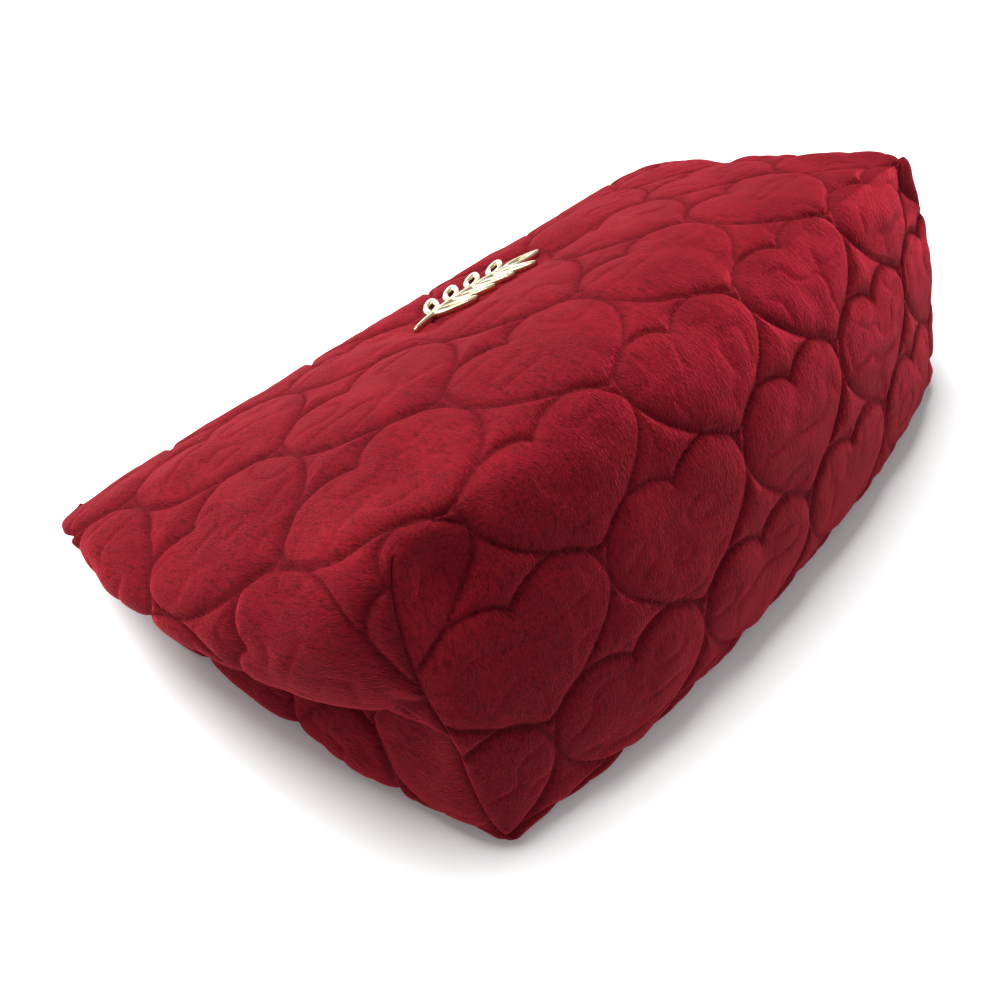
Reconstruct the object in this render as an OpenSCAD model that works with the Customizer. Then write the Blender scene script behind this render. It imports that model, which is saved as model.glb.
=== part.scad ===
// Quilted plush makeup bag, lying on its back panel.
// +X runs along the zip, +Y from the base towards the zip, +Z up. All sizes in mm.
// The origin is the centre of the back panel's resting face.

/* [Bag body] */
// Width along the zip
zip_w = 250; // [220:1:280]
// Width along the base
base_w = 216; // [190:1:230]
// Height from the base edge to the zip
bag_h = 136; // [125:1:145]
// How far the front bottom edge stands above the back panel
front_rise = 76; // [70:1:80]
// Height of the zip band
band_h = 16; // [15:0.5:18]

/* [Layers] */
// Plush cover thickness
cover_t = 1.6; // [1.2:0.1:1.8]
// Wadding thickness
wadding_t = 2.4; // [1.8:0.1:2.6]
// Lining thickness
lining_t = 0.5; // [0.3:0.1:0.6]
// Gap between the front panel and what it swings on
swing_gap = 0.3; // [0.3:0.05:0.5]

/* [Zip] */
// Distance between teeth along one row
tooth_pitch = 2.6; // [2.4:0.1:3]
// Half the length of the row of teeth
teeth_half = 106.6; // [100:0.1:108]
// Tape thickness
tape_t = 0.8; // [0.6:0.1:1]
// Slider length along the zip
slider_l = 10; // [9:0.5:11]
// Pull tab length
pull_l = 28; // [20:1:34]
// Pull tab width
pull_w = 7; // [5:0.5:8]

/* [Ornament] */
// Length of the leaf sprig
sprig_l = 57; // [50:1:62]
// Sprig plate thickness
sprig_t = 1.8; // [1.2:0.1:2.4]
// Length of one leaf
leaf_l = 14; // [11:0.5:15]
// Width of one leaf
leaf_w = 4.8; // [4:0.2:5.2]

/* [Colours] */
// Plush cover
plush = [0.42, 0.03, 0.07]; // [0:0.01:1]
// Wadding
white_fill = [0.92, 0.91, 0.88]; // [0:0.01:1]
// Lining
satin = [0.27, 0.02, 0.05]; // [0:0.01:1]
// Zip tape and binding
tape_red = [0.33, 0.02, 0.05]; // [0:0.01:1]
// Gold metal
gold = [0.86, 0.7, 0.42]; // [0:0.01:1]

/* [Hidden] */
$fn = 48;
wad_d = cover_t + wadding_t;
wall = wad_d + lining_t;
half_h = bag_h / 2;
half_zip = zip_w / 2;
half_base = base_w / 2;
// Section outline from the back panel's base end, over the base, the front and the zip band.
fold_y = -half_h + 38.5;
crest_y = -half_h + 88.8;
crest_z = front_rise - 30;
band_low = 3;
band_top = band_low + band_h;
SECTION = [
    [-half_h + 6, 0],
    [-half_h + 0.5, 5],
    [-half_h + 13, 40],
    [-half_h + 29, front_rise - 5],
    [fold_y, front_rise],
    [crest_y, crest_z],
    [half_h - 6, band_top + 4.5],
    [half_h, band_top],
    [half_h, band_low],
    [half_h - 5, 0]
];
PLAN = [
    [-half_base, -half_h],
    [-half_base - 7, -half_h + 38],
    [-half_zip + 2, -half_h + 84],
    [-half_zip, half_h],
    [half_zip, half_h],
    [half_zip - 2, -half_h + 84],
    [half_base + 7, -half_h + 38],
    [half_base, -half_h]
];
ZIP_EDGE = 7;
FOLD = 4;
// The outline's two edges across the bag lie past the section and never cut it.
PLAN_ACROSS = [3, 7];
past = -5;
// Zip centre line, and the tape's middle plane
zip_z = band_low + band_h / 2 - 0.2;
tape_y = half_h - 2;
tooth_h = 2.6;
tooth_l = 1.1;
tooth_t = 2.2;
mesh_h = 0.5;
spine_h = 0.7;
tape_gap = tooth_h - mesh_h;
tape_half = teeth_half + 6;
front_tape_h = 5;
back_tape_h = 3.2;
inner_cut = tape_y - tape_t;
slider_x = teeth_half - 1.6;
plate_t = 1.2;
plate_gap = tooth_t / 2 + 0.4;
plate_h = 8;
bail_l = 7;
bail_w = 1.6;
bail_rise = 3;
eye_r = 0.8;
eye_y = tape_y + plate_gap + plate_t + eye_r + 0.25;
flange_t = 1;
bail_t = 0.8;
pull_t = 1.4;
pull_arm_t = 1.2;
pull_neck = 6.5;
stop_l = 1.8;
stop_h = 1.9;
stop_grip = 0.7;
bottom_stop_l = 2.6;
bottom_stop_h = 6;
end_tab_l = 6.4;
end_tab_t = 2;
end_tab_h = 8.6;
end_tab_drop = 4.6;
// Bound seam inside the ends: its two ends as [y, z], its width and thickness
BINDING_LOW = [-half_h + 22, 34];
BINDING_HIGH = [half_h - 7, zip_z + 1];
binding_w = 8;
binding_t = 1;
// Room cut for the swinging front beside and behind the fold
fold_room = 9;
sweep_y = 30;
sweep_z = 40;
// Posts and washers behind the ornament
washer_r = 3;
washer_t = 0.7;
post_past = 1.4;
// Ornament place on the upper front
slope = atan2(band_top + 4.5 - crest_z, half_h - 6 - crest_y);
sprig_at = 0.55;
sprig_y = crest_y + sprig_at * (half_h - 6 - crest_y);
sprig_z = crest_z + sprig_at * (band_top + 4.5 - crest_z);
stem_r = 90;
post_r = 0.9;
post_x = 14;
leaf_root = 0.4;
leaf_steps = 14;
stem_steps = 20;
stem_w = 2;
LEAF_X = [-18.5, -9.3, -0.1, 9.1];
leaf_lean = 38;
wide = zip_w + 40;

// Geometry helpers

function unit(v) = v / norm(v);

function meet(p, u, q, v) =
    p + u * (((q[0] - p[0]) * v[1] - (q[1] - p[1]) * v[0]) / (u[0] * v[1] - u[1] * v[0]));

// A clockwise outline moved inwards, edge i by d[i].
function inset(outline, d) =
    let (n = len(outline))
    [for (i = [0:n - 1])
        let (
            h = (i + n - 1) % n,
            u = unit(outline[i] - outline[h]),
            v = unit(outline[(i + 1) % n] - outline[i])
        )
        meet(outline[i] + d[h] * [u[1], -u[0]], u, outline[i] + d[i] * [v[1], -v[0]], v)
    ];

// Depths for the section's edges: the front, the zip edge, and all the others.
function depths(front, zip, other) =
    [for (i = [0:len(SECTION) - 1]) i == ZIP_EDGE ? zip : i >= FOLD && i < ZIP_EDGE ? front : other];

function ring(d) = inset(SECTION, depths(d, 0, d));

function pick(ring_points, order) = [for (i = order) ring_points[i]];

FRONT_RUN = [4, 5, 6, 7];
BACK_RUN = [8, 9, 0, 1, 2, 3, 4];

function strip(run, outer, inner) =
    let (back = [for (i = [len(run) - 1:-1:0]) run[i]])
    concat(pick(ring(outer), run), pick(ring(inner), back));

// The side walls' section, under the swinging front panel.
function side_section(zip_d, other_d) = inset(SECTION, depths(wall + swing_gap, zip_d, other_d));

module across(points, width = wide) {
    rotate([90, 0, 90])
        linear_extrude(width, center = true)
            polygon(points);
}

module plan_block(d) {
    translate([0, 0, -10])
        linear_extrude(front_rise + 30)
            polygon(inset(PLAN, [for (i = [0:len(PLAN) - 1]) len(search(i, PLAN_ACROSS)) > 0 ? past : d]));
}

module wall_strip(run, outer, inner, side_d) {
    intersection() {
        across(strip(run, outer, inner));
        plan_block(side_d);
    }
}

// Keeps only what lies on the base side of a plane across the bag.
module base_side_of(y) {
    intersection() {
        children();
        translate([-wide / 2, y - 2 * bag_h, -bag_h])
            cube([wide, 2 * bag_h, 2 * bag_h]);
    }
}

// Opens the gap that the front panel's fold needs.
module clear_of_fold() {
    difference() {
        children();
        across([
            [fold_y - fold_room, front_rise + fold_room],
            [fold_y + swing_gap, front_rise + fold_room],
            [fold_y + swing_gap, front_rise - 2 * wall],
            [fold_y - fold_room, front_rise - 2 * wall]
        ]);
    }
}

module on_side(side) {
    intersection() {
        children();
        translate([side > 0 ? 0 : -wide, -bag_h, -bag_h])
            cube([wide, 2 * bag_h, 2 * bag_h]);
    }
}

module side_layer(side, points, outer, inner) {
    on_side(side)
        difference() {
            intersection() {
                across(points);
                plan_block(outer);
            }
            plan_block(inner);
        }
}

// Cover

module post_holes() {
    on_front()
        for (x = [-post_x, 0, post_x])
            translate([x, stem_y(x), -2 * wall])
                cylinder(h = 3 * wall, r = post_r + 0.15);
}

module cover_front() {
    color(plush)
        difference() {
            clear_of_fold()
                wall_strip(FRONT_RUN, 0, wall, 0);
            wall_strip(FRONT_RUN, cover_t, wall + 1, cover_t);
            post_holes();
        }
}

module cover_base_back() {
    color(plush)
        difference() {
            wall_strip(BACK_RUN, 0, cover_t, 0);
            front_sweep();
        }
}

// The room the swinging front takes beside the fold.
module front_sweep() {
    across([
        [fold_y, front_rise + 1],
        [fold_y + sweep_y, front_rise + 1],
        [fold_y + sweep_y, front_rise - sweep_z],
        [fold_y, front_rise - sweep_z]
    ]);
}

module cover_end(side) {
    color(plush)
        difference() {
            side_layer(side, side_section(0, cover_t), 0, wall);
            intersection() {
                across(side_section(cover_t, cover_t));
                plan_block(cover_t);
            }
        }
}

module cover_left_end() {
    cover_end(-1);
}

module cover_right_end() {
    cover_end(1);
}

// Wadding

module wadding_front() {
    color(white_fill)
        difference() {
            base_side_of(inner_cut)
                clear_of_fold()
                    wall_strip(FRONT_RUN, cover_t, wad_d, cover_t);
            post_holes();
        }
}

module wadding_base_back() {
    color(white_fill)
        difference() {
            base_side_of(inner_cut)
                wall_strip(BACK_RUN, cover_t, wad_d, wad_d);
            front_sweep();
        }
}

module wadding_left_end() {
    color(white_fill)
        side_layer(-1, side_section(cover_t, cover_t), cover_t, wad_d);
}

module wadding_right_end() {
    color(white_fill)
        side_layer(1, side_section(cover_t, cover_t), cover_t, wad_d);
}

// Lining

module lining_front() {
    color(satin)
        difference() {
            base_side_of(inner_cut)
                clear_of_fold()
                    wall_strip(FRONT_RUN, wad_d, wall, cover_t);
            post_holes();
        }
}

module lining_base_back() {
    color(satin)
        difference() {
            base_side_of(inner_cut)
                wall_strip(BACK_RUN, wad_d, wall, wall);
            front_sweep();
        }
}

module lining_left_end() {
    color(satin)
        side_layer(-1, side_section(cover_t, wad_d), wad_d, wall);
}

module lining_right_end() {
    color(satin)
        side_layer(1, side_section(cover_t, wad_d), wad_d, wall);
}

// Bound seam allowance inside each end, from the zip down to the base.
module seam_binding(side) {
    along = unit(BINDING_HIGH - BINDING_LOW);
    half_t = binding_t / 2 * [along[1], -along[0]];
    color(tape_red)
        on_side(side)
            difference() {
                intersection() {
                    across([
                        BINDING_LOW - half_t, BINDING_HIGH - half_t,
                        BINDING_HIGH + half_t, BINDING_LOW + half_t
                    ]);
                    plan_block(wall);
                }
                plan_block(wall + binding_w);
            }
}

module seam_binding_left() {
    seam_binding(-1);
}

module seam_binding_right() {
    seam_binding(1);
}

// Zip

module tape(z_low, z_high) {
    translate([-tape_half, tape_y - tape_t / 2, z_low])
        cube([2 * tape_half, tape_t, z_high - z_low]);
}

module zip_tape_front() {
    color(tape_red)
        tape(zip_z + tape_gap, zip_z + tape_gap + front_tape_h);
}

module zip_tape_back() {
    color(tape_red)
        tape(zip_z - tape_gap - back_tape_h, zip_z - tape_gap);
}

module tooth_row(up) {
    count = floor(2 * teeth_half / tooth_pitch) - 1;
    start = -teeth_half + (up ? 0 : tooth_pitch / 2);
    z_low = up ? zip_z - mesh_h : zip_z - tape_gap;
    for (i = [0:count])
        translate([start + i * tooth_pitch, tape_y - tooth_t / 2, z_low])
            cube([tooth_l, tooth_t, tooth_h]);
    translate([-teeth_half, tape_y - tooth_t / 2, up ? zip_z + tape_gap - spine_h : zip_z - tape_gap])
        cube([2 * teeth_half, tooth_t, spine_h]);
}

module zip_teeth_front() {
    color(gold)
        tooth_row(true);
}

module zip_teeth_back() {
    color(gold)
        tooth_row(false);
}

module top_stop(z_low) {
    translate([slider_x + slider_l / 2 + 0.4, tape_y - tooth_t / 2, z_low])
        difference() {
            cube([stop_l, tooth_t, stop_h]);
            translate([-1, (tooth_t - tape_t) / 2, z_low > zip_z ? stop_grip : -1])
                cube([stop_l + 2, tape_t, stop_h + 1 - stop_grip]);
        }
}

module zip_top_stop_front() {
    color(gold)
        top_stop(zip_z + tape_gap - stop_grip);
}

module zip_top_stop_back() {
    color(gold)
        top_stop(zip_z - tape_gap + stop_grip - stop_h);
}

module zip_bottom_stop() {
    color(gold)
        difference() {
            translate([-teeth_half - bottom_stop_l - 0.4, tape_y - tooth_t / 2, zip_z - bottom_stop_h / 2])
                cube([bottom_stop_l, tooth_t, bottom_stop_h]);
            tape(zip_z - tape_gap - back_tape_h, zip_z - tape_gap);
            tape(zip_z + tape_gap, zip_z + tape_gap + front_tape_h);
        }
}

module end_tab(x_low) {
    translate([x_low, tape_y - 0.7, zip_z - end_tab_drop])
        cube([end_tab_l, end_tab_t, end_tab_h]);
}

module zip_end_tab_left() {
    color(plush)
        end_tab(-tape_half - end_tab_l - 0.3);
}

module zip_end_tab_right() {
    color(plush)
        end_tab(tape_half + 0.3);
}

module slider_plate(y_low, length) {
    translate([-slider_l / 2, y_low, -plate_h / 2])
        cube([length, plate_t, plate_h]);
}

module zip_slider() {
    flange = plate_gap - tape_t / 2 - 0.3;
    color(gold)
        translate([slider_x, tape_y, zip_z]) {
            slider_plate(-plate_gap - plate_t, slider_l);
            slider_plate(plate_gap, slider_l);
            for (z = [-plate_h / 2, plate_h / 2 - flange_t]) {
                translate([-slider_l / 2, plate_gap - flange, z])
                    cube([slider_l, flange, flange_t]);
                translate([-slider_l / 2, -plate_gap, z])
                    cube([slider_l, flange, flange_t]);
            }
            translate([slider_l / 2 - 2.6, -plate_gap, -0.9])
                cube([1.8, 2 * plate_gap, 1.8]);
            for (x = [-bail_l / 2, bail_l / 2 - 1])
                translate([x, plate_gap + plate_t, -bail_w / 2])
                    cube([1, bail_rise, bail_w]);
            translate([-bail_l / 2, plate_gap + plate_t + bail_rise - bail_t, -bail_w / 2])
                cube([bail_l, bail_t, bail_w]);
        }
}

module pull_tab() {
    arm = pull_w / 2 - pull_arm_t;
    color(gold)
        translate([slider_x, eye_y, zip_z]) {
            translate([0, 0, -arm])
                cylinder(h = 2 * arm, r = eye_r);
            for (z = [-arm - pull_arm_t / 2, arm - pull_arm_t / 2])
                translate([-pull_neck, -pull_t / 2, z])
                    cube([pull_neck + eye_r, pull_t, pull_arm_t]);
            translate([-pull_l + pull_w / 2, -pull_t / 2, -pull_w / 2])
                cube([pull_l - pull_w / 2 - pull_neck + 0.3, pull_t, pull_w]);
            translate([-pull_l + pull_w / 2, pull_t / 2, 0])
                rotate([90, 0, 0])
                    cylinder(h = pull_t, r = pull_w / 2);
        }
}

// Ornament

module on_front() {
    translate([0, sprig_y, sprig_z])
        rotate([slope, 0, 0])
            children();
}

function stem_y(x) = sqrt(stem_r * stem_r - x * x) - stem_r + 2;

// A pointed leaf outline along +X, starting at the origin.
function leaf_points(length, width) =
    let (
        r = (length * length + width * width) / (4 * width),
        reach = asin(length / 2 / r),
        side = [for (i = [0:leaf_steps]) -reach + 2 * reach * i / leaf_steps],
        upper = [for (t = side) [length / 2 + r * sin(t), r * cos(t) - r + width / 2]]
    )
    concat(upper, [for (i = [leaf_steps - 1:-1:1]) [upper[i][0], -upper[i][1]]]);

module open_leaf() {
    translate([-leaf_root, 0])
        difference() {
            polygon(leaf_points(leaf_l, leaf_w));
            translate([3, 0])
                polygon(leaf_points(leaf_l - 5, leaf_w - 2.6));
        }
}

module stem() {
    stem_l = sprig_l - leaf_l + 1.5;
    bow = [for (i = [0:stem_steps]) -sprig_l / 2 + stem_l * i / stem_steps];
    upper = [for (x = bow) [x, stem_y(x) + stem_w / 2]];
    lower = [for (i = [stem_steps:-1:0]) [bow[i], stem_y(bow[i]) - stem_w / 2]];
    polygon(concat(upper, lower));
}

module emblem() {
    tip_x = sprig_l / 2 - leaf_l;
    color(gold)
        on_front()
            linear_extrude(sprig_t) {
                stem();
                for (x = LEAF_X)
                    for (turn = [-leaf_lean, leaf_lean])
                        translate([x, stem_y(x)])
                            rotate(turn - x / 2)
                                open_leaf();
                translate([tip_x, stem_y(tip_x)])
                    rotate(-tip_x / 1.6)
                        open_leaf();
            }
}

module emblem_posts() {
    color(gold)
        on_front()
            for (x = [-post_x, 0, post_x])
                translate([x, stem_y(x), -wall - post_past])
                    cylinder(h = wall + post_past, r = post_r);
}

module emblem_washers() {
    color(gold)
        on_front()
            for (x = [-post_x, 0, post_x])
                translate([x, stem_y(x), -wall - washer_t - 0.1])
                    difference() {
                        cylinder(h = washer_t, r = washer_r);
                        translate([0, 0, -1])
                            cylinder(h = 3, r = post_r + 0.05);
                    }
}

cover_front();
cover_base_back();
cover_left_end();
cover_right_end();
wadding_front();
wadding_base_back();
wadding_left_end();
wadding_right_end();
lining_front();
lining_base_back();
lining_left_end();
lining_right_end();
seam_binding_left();
seam_binding_right();
zip_tape_front();
zip_tape_back();
zip_teeth_front();
zip_teeth_back();
zip_top_stop_front();
zip_top_stop_back();
zip_bottom_stop();
zip_end_tab_left();
zip_end_tab_right();
zip_slider();
pull_tab();
emblem();
emblem_posts();
emblem_washers();
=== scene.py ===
"""Quilted plush makeup bag: the looks of its cloth, zip and gold trim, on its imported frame."""

import math

import bmesh
import bpy
import numpy as np
from bpy.props import FloatProperty, FloatVectorProperty, IntProperty, PointerProperty
from mathutils import Matrix, Vector


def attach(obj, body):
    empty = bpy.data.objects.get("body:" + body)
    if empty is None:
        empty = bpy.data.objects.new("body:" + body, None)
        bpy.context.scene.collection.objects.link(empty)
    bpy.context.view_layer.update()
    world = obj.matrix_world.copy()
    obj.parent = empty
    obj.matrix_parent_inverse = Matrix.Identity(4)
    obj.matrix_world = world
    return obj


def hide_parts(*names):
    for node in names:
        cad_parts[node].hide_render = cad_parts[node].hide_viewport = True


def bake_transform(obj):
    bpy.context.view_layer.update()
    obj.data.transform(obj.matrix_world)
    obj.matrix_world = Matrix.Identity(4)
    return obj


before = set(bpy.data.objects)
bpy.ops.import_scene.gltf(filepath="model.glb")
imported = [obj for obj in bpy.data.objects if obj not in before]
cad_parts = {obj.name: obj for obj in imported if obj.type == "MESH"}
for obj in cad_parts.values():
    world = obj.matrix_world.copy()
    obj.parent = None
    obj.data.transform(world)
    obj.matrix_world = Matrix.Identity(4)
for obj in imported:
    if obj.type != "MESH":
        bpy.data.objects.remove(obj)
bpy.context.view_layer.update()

bl_info = {
    "name": "Quilted Makeup Bag",
    "version": (1, 0, 0),
    "blender": (4, 5, 0),
    "location": "3D View > Sidebar > Makeup Bag",
    "description": "Builds a quilted plush makeup bag with its zip, lining and leaf ornament",
    "category": "Object",
}

MM = 0.001


def length(name, description, default):
    """A size in metres for a property group."""
    return FloatProperty(name=name, description=description, default=default, unit="LENGTH", precision=4)


def plain(name, description, default):
    """A share, an angle or another number with no unit for a property group."""
    return FloatProperty(name=name, description=description, default=default)


def spot(name, description, default):
    """A place in the bag's axes for a property group."""
    return FloatVectorProperty(name=name, description=description, default=default, subtype="XYZ")


def colour(name, description, default):
    """A linear colour for a property group."""
    return FloatVectorProperty(
        name=name, description=description, default=default, size=3, subtype="COLOR", min=0.0, max=1.0
    )


class BagShape(bpy.types.PropertyGroup):
    """The stuffed bag's outline."""

    zip_half: length("Half zip width", "From the middle to the zip's corner", 0.1245)
    base_half: length("Half base width", "From the middle to the base's corner", 0.1110)
    zip_y: length("Zip edge", "How far the zip edge is from the middle", 0.0682)
    zip_z: length("Zip height", "Height of the zip's middle line", 0.0108)
    fold_y: length("Fold place", "Where the front turns into the base", -0.0305)
    fold_z: length("Fold height", "Height of the front bottom corners", 0.0725)
    heel_y: length("Base heel", "Where the base turns into the back", -0.0695)
    rest_z: length("Back start", "Height of the back panel before it fills out", 0.0003)
    seam_share: plain("Side seam place", "How far down the base's end the side seam meets it", 0.56)
    fold_rise: length("Fold rise", "How much higher the fold is in its middle", 0.0085)
    front_bow: length("Front bow", "How far the front swells", 0.0025)
    base_bow: length("Base bow", "How far the base swells", 0.0075)
    heel_bow: length("Heel bow", "How far the back bottom edge swells", 0.0090)
    side_bow: length("Side bow", "How far the back's side edges swell", 0.0108)
    ridge_bow: length("Ridge bow", "How far the front's side edges swell", 0.005)
    base_side_bow: length("Base side bow", "How far the base's ends swell", 0.0065)
    pleat: length("Pleat depth", "How far the side seam is drawn in", 0.013)
    end_bulge: length("End bulge", "How far the upper half of each end hangs out", 0.031)
    right_share: plain("Right end share", "How far the right end hangs out, as a share of the left", 0.6)
    right_swell: length("Right swell", "How far the base's right end swells past its left", 0.0045)
    tuck_bulge: length("Tuck bulge", "How far the lower half of each end swells", 0.006)


class QuiltShape(bpy.types.PropertyGroup):
    """The heart quilting."""

    pitch: length("Heart pitch", "From one heart to the next in a row", 0.050)
    row: length("Row pitch", "From one row of hearts to the next", 0.032)
    tall: length("Heart height", "From the notch to the tip", 0.033)
    across: length("Heart start", "Sideways place of the first heart", -0.020)
    down: length("Row start", "Place of a row's notch past the fold", -0.001)
    crisp: length("Channel rise", "Height gained just beside a stitched channel", 0.0012)
    puff: length("Puff rise", "Further height in the middle of a cell", 0.0012)
    sink: length("Channel depth", "How deep the stitches lie", 0.0015)


class FillShape(bpy.types.PropertyGroup):
    """How the cloth is blown up before quilting."""

    pressure: plain("Pressure", "Pressure of the filling", 4.0)
    steps: IntProperty(name="Steps", description="Simulated frames", default=20)
    cap: length("Cap", "Furthest that a point of the cloth may move", 0.010)


class Ornament(bpy.types.PropertyGroup):
    """The gold leaf sprig on the front."""

    place: spot("Place", "Middle of the sprig's underside", (0.0, 0.04346, 0.0336))
    tilt: plain("Tilt", "Slope of the front there, degrees", 28.64)
    long: length("Length", "From the stem's foot to the tip leaf's point", 0.057)
    thick: length("Thickness", "Height of the metal above the cloth", 0.0018)
    bend: length("Stem bend", "Radius of the stem's arc", 0.090)
    stem_wide: length("Stem width", "Across the stem", 0.0020)
    leaf_long: length("Leaf length", "From the stem to a leaf's point", 0.0140)
    leaf_wide: length("Leaf width", "Across a leaf", 0.0048)
    lean: plain("Leaf lean", "Turn of a leaf away from the stem, degrees", 38.0)
    pairs: IntProperty(name="Leaf pairs", description="Pairs of leaves below the tip leaf", default=4)


class ZipShape(bpy.types.PropertyGroup):
    """Tape, teeth and slider of the zip."""

    tape_half: length("Half tape", "From the middle to the tape's end", 0.1126)
    tape_y: length("Tape place", "Middle of the tape's thickness", 0.0660)
    tape_thick: length("Tape thickness", "Through the weave", 0.0008)
    gap: length("Tape gap", "From the zip's middle line to the tape's beaded edge", 0.0021)
    teeth_half: length("Half row", "From the middle to the first tooth", 0.1066)
    pitch: length("Tooth pitch", "From one tooth to the next in a row", 0.0026)
    tooth_wide: length("Tooth width", "Along the zip", 0.0012)
    tooth_thick: length("Tooth thickness", "Through the tape", 0.0022)
    slider_x: length("Slider place", "Where the closed slider stands", 0.105)
    slider_long: length("Slider length", "Along the zip", 0.010)
    slider_wide: length("Slider width", "Across the zip", 0.008)
    eye_y: length("Pull eye", "Where the pull turns on the slider", 0.06975)
    pull_long: length("Pull length", "From the eye to the pull's end", 0.028)
    pull_wide: length("Pull width", "Across the pull", 0.007)


class BagColours(bpy.types.PropertyGroup):
    """Colours of the bag's cloth and metal."""

    plush: colour("Plush", "Pile seen straight on", (0.085, 0.0014, 0.0042))
    # Darker strands of pile at random, and painted shade that darkens the pile in the stitched channels
    plush_strand_and_channel_shade: colour("Plush, deep", "Pile in the stitched channels", (0.024, 0.0005, 0.0014))
    plush_pale: colour("Plush, brushed", "Pile brushed the other way", (0.15, 0.004, 0.009))
    plush_bright: colour("Plush, tips", "Tips of the pile that catch the light", (0.24, 0.007, 0.014))
    lining: colour("Lining", "Satin lining", (0.12, 0.006, 0.014))
    wadding: colour("Wadding", "Filling fibres", (0.82, 0.81, 0.77))
    tape: colour("Zip tape", "Woven tape", (0.10, 0.004, 0.009))
    gold: colour("Pale gold", "Polished ornament metal", (0.74, 0.63, 0.40))
    zip_gold: colour("Zip gold", "Metal of the zip", (0.72, 0.53, 0.28))


class StageSetup(bpy.types.PropertyGroup):
    """Camera and lights."""

    place: spot("Camera place", "Where the camera stands", (-0.2028, -0.1132, 0.2213))
    azimuth: plain("Azimuth", "Turn round the bag, degrees", -55.9)
    elevation: plain("Elevation", "Tilt above the floor, degrees", 47.2)
    roll: plain("Roll", "Lean of the camera, degrees", 8.4)
    lens: plain("Lens", "Focal length in millimetres", 37.7)
    daylight: plain("Daylight", "Strength of the white surroundings", 0.38)


# ---------------------------------------------------------------- materials


class Amount:
    """A number on its way through a material: arithmetic on it adds Math nodes."""

    def __init__(self, shade, socket):
        self.shade, self.socket = shade, socket

    def _math(self, operation, *terms):
        """The result of a Math node on the terms."""
        node = self.shade.node("ShaderNodeMath", {"operation": operation}, dict(enumerate(terms)))
        return Amount(self.shade, node.outputs[0])

    def __add__(self, other):
        return self._math("ADD", self, other)

    def __sub__(self, other):
        return self._math("SUBTRACT", self, other)

    def __rsub__(self, other):
        return self._math("SUBTRACT", other, self)

    def __mul__(self, other):
        return self._math("MULTIPLY", self, other)

    def between(self, low, high):
        """0 below low, 1 above high, and smooth in between."""
        node = self.shade.node(
            "ShaderNodeMapRange",
            {"interpolation_type": "SMOOTHSTEP"},
            {"Value": self, "From Min": low, "From Max": high},
        )
        return Amount(self.shade, node.outputs["Result"])

    __radd__ = __add__
    __rmul__ = __mul__


class Shade:
    """One material and its nodes."""

    def __init__(self, name, **fixed):
        self.material = bpy.data.materials.new(name)
        self.material.use_nodes = True
        self.tree = self.material.node_tree
        self.surface = self.tree.nodes["Principled BSDF"]
        for socket, value in fixed.items():
            self.surface.inputs[socket.replace("_", " ")].default_value = value

    def node(self, kind, settings=None, values=None):
        """Any node: its settings first, then the values or links of its sockets."""
        node = self.tree.nodes.new(kind)
        for name, value in (settings or {}).items():
            setattr(node, name, value)
        for name, value in (values or {}).items():
            self.feed(node.inputs[name], value)
        return node

    def feed(self, socket, value):
        """Links a socket to a node's output, or sets it to a plain value."""
        if isinstance(value, Amount):
            value = value.socket
        if isinstance(value, bpy.types.NodeSocket):
            self.tree.links.new(value, socket)
        else:
            socket.default_value = value

    def set(self, **values):
        """Values or links of the surface's own sockets."""
        for name, value in values.items():
            self.feed(self.surface.inputs[name.replace("_", " ")], value)

    def attribute(self, name):
        """A number kept on the cloth's points."""
        return Amount(self, self.node("ShaderNodeAttribute", {"attribute_name": name}).outputs["Fac"])

    def place(self, scale=(1, 1, 1), uv=None):
        """Object coordinates, or a UV layer's, stretched."""
        if uv:
            source = self.node("ShaderNodeUVMap", {"uv_map": uv}).outputs["UV"]
        else:
            source = self.node("ShaderNodeTexCoord").outputs["Object"]
        return self.node("ShaderNodeMapping", {}, {"Vector": source, "Scale": scale}).outputs["Vector"]

    def noise(self, vector, scale, detail=2.0, roughness=0.5, distortion=0.0):
        """Cloudy values from 0 to 1."""
        values = {
            "Vector": vector,
            "Scale": scale,
            "Detail": detail,
            "Roughness": roughness,
            "Distortion": distortion,
        }
        return Amount(self, self.node("ShaderNodeTexNoise", {}, values).outputs["Fac"])

    def mix(self, factor, low, high):
        """One colour turning into another."""
        node = self.node("ShaderNodeMix", {"data_type": "RGBA"})
        self.feed(node.inputs[0], factor)
        for socket, value in ((node.inputs[6], low), (node.inputs[7], high)):
            self.feed(socket, (*value, 1.0) if isinstance(value, (tuple, list)) else value)
        return node.outputs[2]

    def bump(self, height, distance, strength=1.0, under=None):
        """A raised or sunken look, over another one if it is given."""
        values = {"Height": height, "Distance": distance, "Strength": strength}
        if under is not None:
            values["Normal"] = under
        return self.node("ShaderNodeBump", {}, values).outputs["Normal"]


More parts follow.
